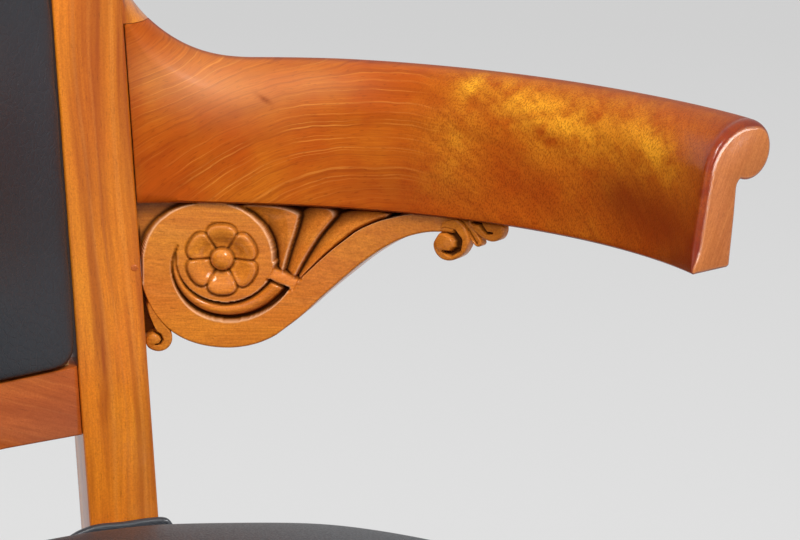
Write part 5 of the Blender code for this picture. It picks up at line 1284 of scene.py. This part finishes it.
        def place(u, v):
            i, j = index(u, turns), index(v, count)
            run = centre[0] + share[j] * reach[i] * np.cos(angles[i])
            rise = np.minimum(centre[1] + share[j] * reach[i] * np.sin(angles[i]), -0.5)
            edge = np.clip(soft - (1.0 - share[j]) * reach[i], 0.0, soft)
            carved = relief(run, rise)
            depth = carved + soft - np.sqrt(np.maximum(soft ** 2 - edge ** 2, 0.0))
            # Old wax with painted shade: darker in the deep channels, and never below 0.15 on the carved face
            self.shade = np.where(level[j] > 0.0, 0.0, np.clip((carved - 0.5) / 2.4, 0.15, 0.95))
            return self.bend(run, mix(face + depth, back, level[j]), rise)

        piece = skin(name, turns, count, place, closed=False, caps=False)
        mark(piece, "recess", self.shade)
        close(piece)
        return piece

    def build_end_curl(self):
        """The volute that ends the strap under the arm."""
        outline = [(168.6, -16.0), (170.6, -12.2), (172.6, -8.9), (174.5, -3.6), (182.0, -0.5), (186.2, -2.4),
                   (189.6, -6.6), (191.1, -11.3), (189.6, -16.4), (185.8, -21.3), (179.3, -24.4), (173.8, -24.0),
                   (170.0, -20.8)]
        path = [(172.2, -8.8), (176.6, -7.9), (181.2, -9.2), (184.2, -12.8), (183.6, -17.4), (179.6, -20.4),
                (174.6, -19.6)]

        def relief(run, rise):
            channel = self.trench(run, rise, path, (1.4, 2.5, 3.4, 3.6, 3.2, 2.3, 0.9), 4.4)
            bud = np.hypot(run - 175.4, rise + 14.6)
            dome = -0.9 * np.sqrt(np.maximum(1.0 - (bud / 5.6) ** 2, 0.0))
            return channel + dome

        return self.build_boss("end_curl", (179.8, -13.4), outline, relief, self.FACE_OUT, self.FACE_OUT + 6.5)

    def build_leaf(self):
        """The pointed leaf between the two curls."""
        outline = [(181.5, -0.5), (186.8, -5.6), (191.2, -10.4), (194.6, -15.2), (198.4, -13.0), (195.2, -7.6),
                   (190.4, -2.4), (188.0, -0.5)]

        def relief(run, rise):
            return self.trench(run, rise, [(184.0, -1.0), (190.4, -7.2), (195.2, -13.2)], (1.6, 1.4, 0.9), 2.4)

        return self.build_boss("leaf", (190.4, -6.8), outline, relief, self.FACE_OUT + 1.6, self.FACE_OUT + 7.0)

    def build_last_curl(self):
        """The last small curl, tucked under the arm."""
        outline = [(188.4, -0.5), (191.0, -3.6), (194.8, -7.0), (199.8, -10.0), (205.2, -11.0), (210.4, -9.0),
                   (212.8, -5.1), (212.6, -1.2), (209.0, -0.5), (199.0, -0.5)]
        path = [(193.0, -1.2), (197.4, -1.6), (199.6, -4.6), (202.0, -6.6), (205.6, -6.2)]

        def relief(run, rise):
            return self.trench(run, rise, path, (2.2, 1.8, 1.5, 1.2, 0.7), 4.4)

        return self.build_boss("last_curl", (204.2, -5.0), outline, relief, self.FACE_OUT + 1.0, self.FACE_OUT + 6.0)

    def build_tail(self):
        """The small curl that hangs between the scroll and the stile."""
        outline = [(3.6, -56.6), (6.0, -63.0), (9.4, -69.4), (11.6, -73.4), (8.2, -75.2), (5.2, -77.6), (4.9, -81.6),
                   (7.2, -84.4), (11.4, -85.7), (15.4, -84.7), (18.1, -82.0), (19.2, -78.4), (18.2, -73.8),
                   (12.2, -66.4), (7.0, -56.6)]
        path = [(9.6, -74.6), (12.6, -76.4), (13.8, -79.0), (12.4, -81.4), (9.8, -81.8)]

        def relief(run, rise):
            bud = np.hypot(run - 9.0, rise + 78.8)
            channel = self.trench(run, rise, path, (1.2, 1.2, 1.1, 0.9, 0.5), 3.0)
            return channel - 0.7 * np.maximum(1.0 - (bud / 3.4) ** 2, 0.0)

        return self.build_boss("tail_curl", (13.2, -77.6), outline, relief, self.FACE_OUT + 0.6, self.BACK_OUT - 1.0)

    def build_web(self):
        """The sunk ground between the small curl, the scroll and the stile, dark with painted shade."""
        outline = [(0.3, -44.0), (4.6, -50.0), (6.4, -60.0), (10.4, -71.0), (9.4, -75.6), (4.6, -77.0), (0.3, -74.0)]

        # One even depth, so the whole ground gets painted shade
        def relief(run, rise):
            return np.full(run.shape, 2.4)

        return self.build_boss("web", (4.4, -66.0), outline, relief, self.FACE_OUT + 8.0, self.BACK_OUT - 3.0)


class CHAIR_OT_pegs(bpy.types.Operator):
    """Peg ends in the faces of the stiles"""
    bl_idname = "chair.pegs"
    bl_label = "Pegs"

    def execute(self, context):
        low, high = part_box("bracket_peg_left")
        z = (low.z + high.z) / 2.0
        middle = stile_middle(np.array([z]))[0]
        mouth = middle + ALONG * (STILE_WIDE / 2.0 - 0.0038) + FACE * (STILE_DEEP / 2.0)
        side = np.cross(FACE, UP)

        def place(u, v):
            angle = 2.0 * math.pi * u
            radius = np.interp(v, (0.0, 0.45, 0.8, 1.0), (0.0, 0.0014, 0.0020, 0.0021))
            lift = np.interp(v, (0.0, 0.45, 0.8, 1.0), (0.00032, 0.0003, 0.00012, -0.0008))
            ring = radius[:, None] * (np.cos(angle)[:, None] * side + np.sin(angle)[:, None] * UP)
            return mouth + ring + lift[:, None] * FACE

        left = skin("bracket_peg_left_end", 40, 12, place)
        soften(left, 50.0)
        settle_pair(left, "rail", "polished_fruitwood", "bracket_peg")
        return {"FINISHED"}


class CHAIR_OT_rails(bpy.types.Operator):
    """Stay rail, crest rail, seat rails and front legs, with softened edges"""
    bl_idname = "chair.rails"
    bl_label = "Rails and front legs"

    def execute(self, context):
        for node in ("stay_rail", "crest_rail", "seat_rail_front", "seat_rail_rear", "seat_rail_left",
                     "seat_rail_right", "front_leg_left", "front_leg_right"):
            self.soft_copy(node)
        return {"FINISHED"}

    def soft_copy(self, node):
        """The solid, smooth-shaded, with its arrises rounded by a bevel on the stay rail and the seat rails."""
        piece = copy_node(node, node + "_polished")
        if node == "stay_rail":
            self.hollow(piece)
        if node == "stay_rail" or node.startswith("seat_rail"):
            modify(piece, "BEVEL", width=0.0012, segments=3, limit_method="ANGLE", angle_limit=math.radians(50.0),
                   use_clamp_overlap=True)
        soften(piece, 36.0)
        key = "stile" if node.startswith("front_leg") else "rail"
        settle(piece, finish(key), "polished_fruitwood", node)

    def hollow(self, piece):
        """Hollow the rail's lower edge a little between the stiles."""
        shoulder = stile_corner()[0] - ALONG[0] * STILE_WIDE
        run_out = 0.054
        form = bmesh.new()
        form.from_mesh(piece.data)
        for x in (shoulder, shoulder - run_out, run_out - shoulder, -shoulder):
            whole = form.verts[:] + form.edges[:] + form.faces[:]
            bmesh.ops.bisect_plane(form, geom=whole, plane_co=(x, 0.0, 0.0), plane_no=(1.0, 0.0, 0.0))
        levels = [point.co.z for point in form.verts]
        middle = (min(levels) + max(levels)) / 2.0
        for point in form.verts:
            if point.co.z < middle:
                inside = shoulder - abs(point.co.x)
                point.co.z += float(np.interp(inside, (-0.0002, -0.00005, run_out), (0.0, 0.0007, 0.0028)))
        form.to_mesh(piece.data)
        form.free()


def evened(piece, values, rounds):
    """Spread a measure along the edges of a mesh, so that only its broad form stays."""
    ends = np.empty(len(piece.data.edges) * 2, np.int32)
    piece.data.edges.foreach_get("vertices", ends)
    first, second = ends[::2], ends[1::2]
    count = np.maximum(np.bincount(ends, minlength=len(values)), 1)[:, None]
    for _ in range(rounds):
        total = np.zeros_like(values)
        np.add.at(total, first, values[second])
        np.add.at(total, second, values[first])
        values = 0.5 * (values + total / count)
    return values


def swell(piece, cap, hold):
    """Let the stuffing push the leather out: cloth under pressure, held where it is nailed."""
    select_only(piece)
    form = read_points(piece).astype(float)
    held = hold(form)[:, None]
    before = form - read_points(piece, "normal") * (0.85 * cap * held)
    write_points(piece, before)
    cloth = piece.modifiers.new("swell", "CLOTH")
    settings = cloth.settings
    settings.quality = 5
    settings.use_pressure = True
    settings.uniform_pressure_force = 4.0
    settings.effector_weights.gravity = 0.0
    settings.tension_stiffness = 25.0
    settings.compression_stiffness = 25.0
    settings.bending_stiffness = 1.5
    cloth.collision_settings.use_collision = False
    scene = bpy.context.scene
    for step in range(1, 21):
        scene.frame_set(step)
    graph = bpy.context.evaluated_depsgraph_get()
    moved = read_points(piece.evaluated_get(graph)).astype(float)
    piece.modifiers.clear()
    scene.frame_set(1)
    shift = moved - before
    length = np.linalg.norm(shift, axis=1)
    shift *= np.minimum(1.0, cap / np.maximum(length, 1e-9))[:, None]
    shift = mix(evened(piece, shift, 40), shift, 0.2)
    write_points(piece, before + shift * held)


def cushion(form, voxel, cap, hold):
    """A pad from its plain form: even quads, swollen by its stuffing, then smoothed once."""
    modify(form, "REMESH", mode="VOXEL", voxel_size=voxel)
    modify(form, "SMOOTH", factor=0.5, iterations=2)
    swell(form, cap, hold)
    modify(form, "SUBSURF", levels=1, render_levels=1)
    soften(form, 180.0)
    return form


def pad_section(v, edge, drop, roll, foot):
    """Inset and rise of a pad: level to 0.55, rolled over to 0.78, then down the drawn-in side to its base."""
    turn = np.clip((v - 0.55) / 0.23, 0.0, 1.0) * math.pi / 2.0
    down = np.clip((v - 0.78) / 0.16, 0.0, 1.0)
    inset = np.where(v < 0.78, roll * (1.0 - np.sin(turn)), foot * np.clip((v - 0.78) / 0.14, 0.0, 1.0) ** 2)
    rise = np.where(v > 0.78, (edge - drop) * (1.0 - down), edge - drop * (1.0 - np.cos(turn)))
    return inset, rise


class CHAIR_OT_seat(bpy.types.Operator):
    """Crowned leather seat, sunk in front of the stiles"""
    bl_idname = "chair.seat"
    bl_label = "Seat"

    # Middle of the plan; heights of the edge and crown and the dip at the stiles; then the rolled edge
    MIDDLE_Y = -0.060
    EDGE, CROWN, DIP, DIP_REACH = 0.0535, 0.0300, 0.0225, 0.100
    ROLL, ROLL_DROP, FOOT = 0.0075, 0.0125, 0.0040

    def execute(self, context):
        self.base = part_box("seat_leather")[0].z
        seat = skin("seat_leather_cover", 180, 60, self.place)

        def hold(points):
            return ease((points[:, 2] - self.base - 0.024) / 0.016)

        cushion(seat, 0.005, sizes().seat_swell, hold)
        self.settle_base(seat)
        settle(seat, finish("leather"), "black_leather", "seat_leather", "seat_stuffing")
        return {"FINISHED"}

    def outline(self, angle, inset):
        """Distance from the seat's middle to its soft outline, set in by an amount."""
        rear = stile_corner() + np.array((0.0, RAKE * (SEAT_LEVEL - sizes().arm_underside), 0.0))
        widest = rear[0] + 0.0523
        front_y, front_bow = -0.275, 0.0571
        sag, half = widest - rear[0], rear[1] - self.MIDDLE_Y
        radius = (half ** 2 + sag ** 2) / (2.0 * sag)
        bow = ((widest - 0.028) ** 2 + front_bow ** 2) / (2.0 * front_bow)
        way = np.stack([np.cos(angle), np.sin(angle)], axis=-1)
        overhang = 0.004 - inset

        def circle(x, y, reach):
            offset = np.array((-x, self.MIDDLE_Y - y))
            b = way @ offset
            return -b + np.sqrt(b * b - offset @ offset + reach ** 2)

        reaches = [circle(widest - radius, self.MIDDLE_Y, radius + overhang),
                   circle(radius - widest, self.MIDDLE_Y, radius + overhang),
                   circle(0.0, front_y + bow, bow + overhang)]
        stile = stile_middle(np.array([SEAT_LEVEL]))[0]
        back = stile[1] + 0.010 - inset - self.MIDDLE_Y
        reaches.append(np.where(way[:, 1] > 0.05, back / np.maximum(way[:, 1], 0.05), 9.0))
        for side in (1.0, -1.0):
            normal = np.array((-side * FACE[0], -FACE[1]))
            facing = way @ normal
            away = normal @ np.array((side * stile[0], stile[1] - self.MIDDLE_Y)) - 0.0192 - inset
            reaches.append(np.where(facing > 0.05, away / np.maximum(facing, 0.05), 9.0))
        return sum(reach ** -20.0 for reach in reaches) ** (-1.0 / 20.0)

    def place(self, u, v):
        """The seat's form: crown, rolled edge, drawn-in side and flat base."""
        angle = 2.0 * math.pi * u
        scale = np.interp(v, (0.0, 0.55, 0.66, 0.94, 1.0), (0.0, 0.985, 1.0, 1.0, 0.0))
        inset, rise = pad_section(v, self.EDGE, self.ROLL_DROP, self.ROLL, self.FOOT)
        rise = rise + self.CROWN * (1.0 - np.clip(v / 0.55, 0.0, 1.0) ** 2.2)
        reach = self.outline(angle, inset) * scale
        x = reach * np.cos(angle)
        y = self.MIDDLE_Y + reach * np.sin(angle)
        rise = rise - self.dip(x, y, rise)
        return np.stack([x, y, self.base + rise], axis=-1)

    def dip(self, x, y, rise):
        """How far the leather is drawn down at the stiles."""
        foot = stile_middle(np.array([SEAT_LEVEL]))[0] + FACE * (STILE_DEEP / 2.0)
        away = np.minimum(np.hypot(x - foot[0], y - foot[1]), np.hypot(x + foot[0], y - foot[1]))
        share = ease(rise / (0.8 * self.EDGE) - 0.25)
        inward = (foot[0] - np.abs(x)) * ALONG[0] + (foot[1] - y) * ALONG[1]
        fall = 0.0065 * ease((y - 0.070) / 0.110) * ease((away - 0.010) / 0.050)
        fall = fall + 0.0076 * ease((inward + 0.008) / 0.034) * ease((y - 0.060) / 0.080)
        return share * (self.DIP * np.exp(-(away / self.DIP_REACH) ** 2) + fall)

    def settle_base(self, seat):
        """Bring the underside back down flat onto the rails."""
        points = read_points(seat).astype(float)
        low, reach = points[:, 2].min(), 0.012
        share = np.clip((self.base + reach - points[:, 2]) / (self.base + reach - low), 0.0, 1.0)
        points[:, 2] -= (low - self.base) * share
        write_points(seat, points)


class CHAIR_OT_back(bpy.types.Operator):
    """Leather back pad"""
    bl_idname = "chair.back"
    bl_label = "Back"

    # Form of the pad, then how far its frame lies behind the inner corners of the stiles
    CORNER, CROWN, EDGE, ROLL, FOOT = 0.013, 0.0140, 0.0100, 0.0048, 0.0020
    SUNK = 0.0072

    def execute(self, context):
        low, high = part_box("back_leather")
        self.low, self.high, self.half = low.z, high.z, high.x + 0.0003
        pad = skin("back_leather_pad", 240, 60, self.place)

        def hold(points):
            return ease((self.depth(points) - 0.0095) / 0.006)

        cushion(pad, 0.004, sizes().back_swell, hold)
        settle(pad, finish("leather"), "black_leather", "back_leather", "back_stuffing")
        return {"FINISHED"}

    def face_y(self, z):
        """Front of the back frame at each level."""
        corner = stile_corner() - ALONG * STILE_WIDE
        return corner[1] + RAKE * (z - sizes().arm_underside) + self.SUNK

    def depth(self, points):
        """How far each point stands out from the back frame."""
        return self.face_y(points[:, 2]) - points[:, 1]

    def place(self, u, v):
        """The pad's form: crown, rolled edge, drawn-in side and flat back."""
        inset, out = pad_section(v, self.EDGE, 0.6 * self.EDGE, self.ROLL, self.FOOT)
        scale = np.interp(v, (0.0, 0.55, 0.62, 0.94, 1.0), (0.0, 0.975, 1.0, 1.0, 0.0))
        share = np.clip(v / 0.55, 0.0, 1.0)
        half_z = (self.high - self.low) / 2.0
        wedge = math.tan(STILE_TURN) * np.clip(self.SUNK - out, 0.0, None) * 0.85
        wide, tall = self.half - inset + wedge - self.CORNER, half_z - inset - self.CORNER
        girth = 4.0 * (self.half + half_z)
        path = np.mod(u * girth + half_z, girth)
        x, z = self.rounded(path, wide, tall, half_z)
        dome = (1.0 - np.abs(scale * x / self.half) ** 2.2) * (1.0 - np.abs(scale * z / half_z) ** 2.2)
        out = out + self.CROWN * np.clip(dome, 0.0, 1.0) * ease(2.0 * (1.0 - share))
        z = (self.high + self.low) / 2.0 + scale * z
        return np.stack([scale * x, self.face_y(z) - out, z], axis=-1)

    def rounded(self, path, wide, tall, half_z):
        """A place along a rectangle's edge, moved onto its rounded corners."""
        half = self.half
        legs = np.cumsum([2.0 * half_z, 2.0 * half, 2.0 * half_z, 2.0 * half])
        sides = [path < legs[0], path < legs[1], path < legs[2]]
        still = 0.0 * path
        z = np.select(sides, [path - half_z, half_z + still, half_z - (path - legs[1])], -half_z + still)
        x = np.select(sides, [half + still, half - (path - legs[0]), -half + still], -half + (path - legs[2]))
        cx, cz = np.clip(x, -wide, wide), np.clip(z, -tall, tall)
        dx, dz = x - cx, z - cz
        length = np.maximum(np.hypot(dx, dz), 1e-9)
        return cx + self.CORNER * dx / length, cz + self.CORNER * dz / length


class CHAIR_OT_collars(bpy.types.Operator):
    """Rolled leather collars where the seat meets the stiles"""
    bl_idname = "chair.collars"
    bl_label = "Collars"

    def execute(self, context):
        middle = stile_middle(np.array([0.420]))[0] * (1.0, 1.0, 0.0) + FACE * (STILE_DEEP / 2.0 + 0.0032)
        stops = np.array((-0.0400, -0.0340, -0.0270, -0.0200, 0.0, 0.0150, 0.0210, 0.0245, 0.0265))
        levels = np.array((0.4080, 0.4120, 0.4156, 0.4178, 0.4196, 0.4211, 0.4212, 0.4206, 0.4194))
        aheads = np.array((0.0060, 0.0032, 0.0012, 0.0, 0.0, 0.0, 0.0004, 0.0014, 0.0024))
        count = 60
        at = np.linspace(stops[0], stops[-1], count + 1)
        path = (middle + at[:, None] * ALONG + curve(stops, aheads, at)[:, None] * FACE
                + curve(stops, levels, at)[:, None] * UP)
        end = np.minimum(np.arange(count + 1), np.arange(count + 1)[::-1]) / 5.0
        girth = 0.0026 * np.sqrt(np.clip(1.0 - (1.0 - np.clip(end, 0.02, 1.0)) ** 2, 0.0, 1.0))

        def place(u, v):
            i = index(u, count)
            angle = 2.0 * math.pi * v
            down = np.clip(-np.sin(angle), 0.0, 1.0)
            ring = np.cos(angle)[:, None] * FACE + 0.92 * np.sin(angle)[:, None] * UP
            tuck = down[:, None] * (0.8 * FACE - 5.6 * UP)
            return path[i] + girth[i][:, None] * (ring + tuck)

        left = skin("seat_collar_left_roll", count, 24, place)
        soften(left, 80.0)
        settle_pair(left, "piping", "black_leather", "seat_collar")
        return {"FINISHED"}


class CHAIR_OT_inside(bpy.types.Operator):
    """Finishes of the solids that stay: frame, blocks, dowels, screws, webbing and canvas"""
    bl_idname = "chair.inside"
    bl_label = "Inside"

    def execute(self, context):
        groups = (("softwood", ("corner_block", "back_frame", "arm_dowel", "bracket_dowel")),
                  ("steel", ("corner_screw",)), ("jute", ("seat_webbing", "back_webbing")),
                  ("canvas", ("seat_canvas",)), ("leather", ("back_outside_leather",)))
        for key, starts in groups:
            for name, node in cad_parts.items():
                if name.startswith(starts):
                    for slot in node.material_slots:
                        slot.material = finish(key)
        return {"FINISHED"}


class CHAIR_PT_panel(bpy.types.Panel):
    """Lists the chair's pieces"""
    bl_idname = "CHAIR_PT_panel"
    bl_label = "Desk Armchair"
    bl_space_type = "VIEW_3D"
    bl_region_type = "UI"
    bl_category = "Armchair"

    def draw(self, context):
        layout = self.layout
        for group in (context.scene.chair_sizes, context.scene.chair_colours):
            box = layout.box()
            for key in group.__annotations__:
                box.prop(group, key)
        for operator in OPERATORS:
            layout.operator(operator.bl_idname)


OPERATORS = (CHAIR_OT_arms, CHAIR_OT_stiles, CHAIR_OT_brackets, CHAIR_OT_pegs, CHAIR_OT_rails, CHAIR_OT_seat,
             CHAIR_OT_back, CHAIR_OT_collars, CHAIR_OT_inside, CHAIR_OT_stage)
CLASSES = (ChairSizes, ChairColours, *OPERATORS, CHAIR_PT_panel)


def register():
    """Add the chair's classes and its settings."""
    for item in CLASSES:
        bpy.utils.register_class(item)
    bpy.types.Scene.chair_sizes = bpy.props.PointerProperty(type=ChairSizes)
    bpy.types.Scene.chair_colours = bpy.props.PointerProperty(type=ChairColours)


def unregister():
    """Take the chair's classes and settings away."""
    del bpy.types.Scene.chair_sizes
    del bpy.types.Scene.chair_colours
    for item in reversed(CLASSES):
        bpy.utils.unregister_class(item)


def main():
    """Build every piece."""
    register()
    for operator in OPERATORS:
        group, name = operator.bl_idname.split(".")
        getattr(getattr(bpy.ops, group), name)()


if __name__ == "__main__":
    main()
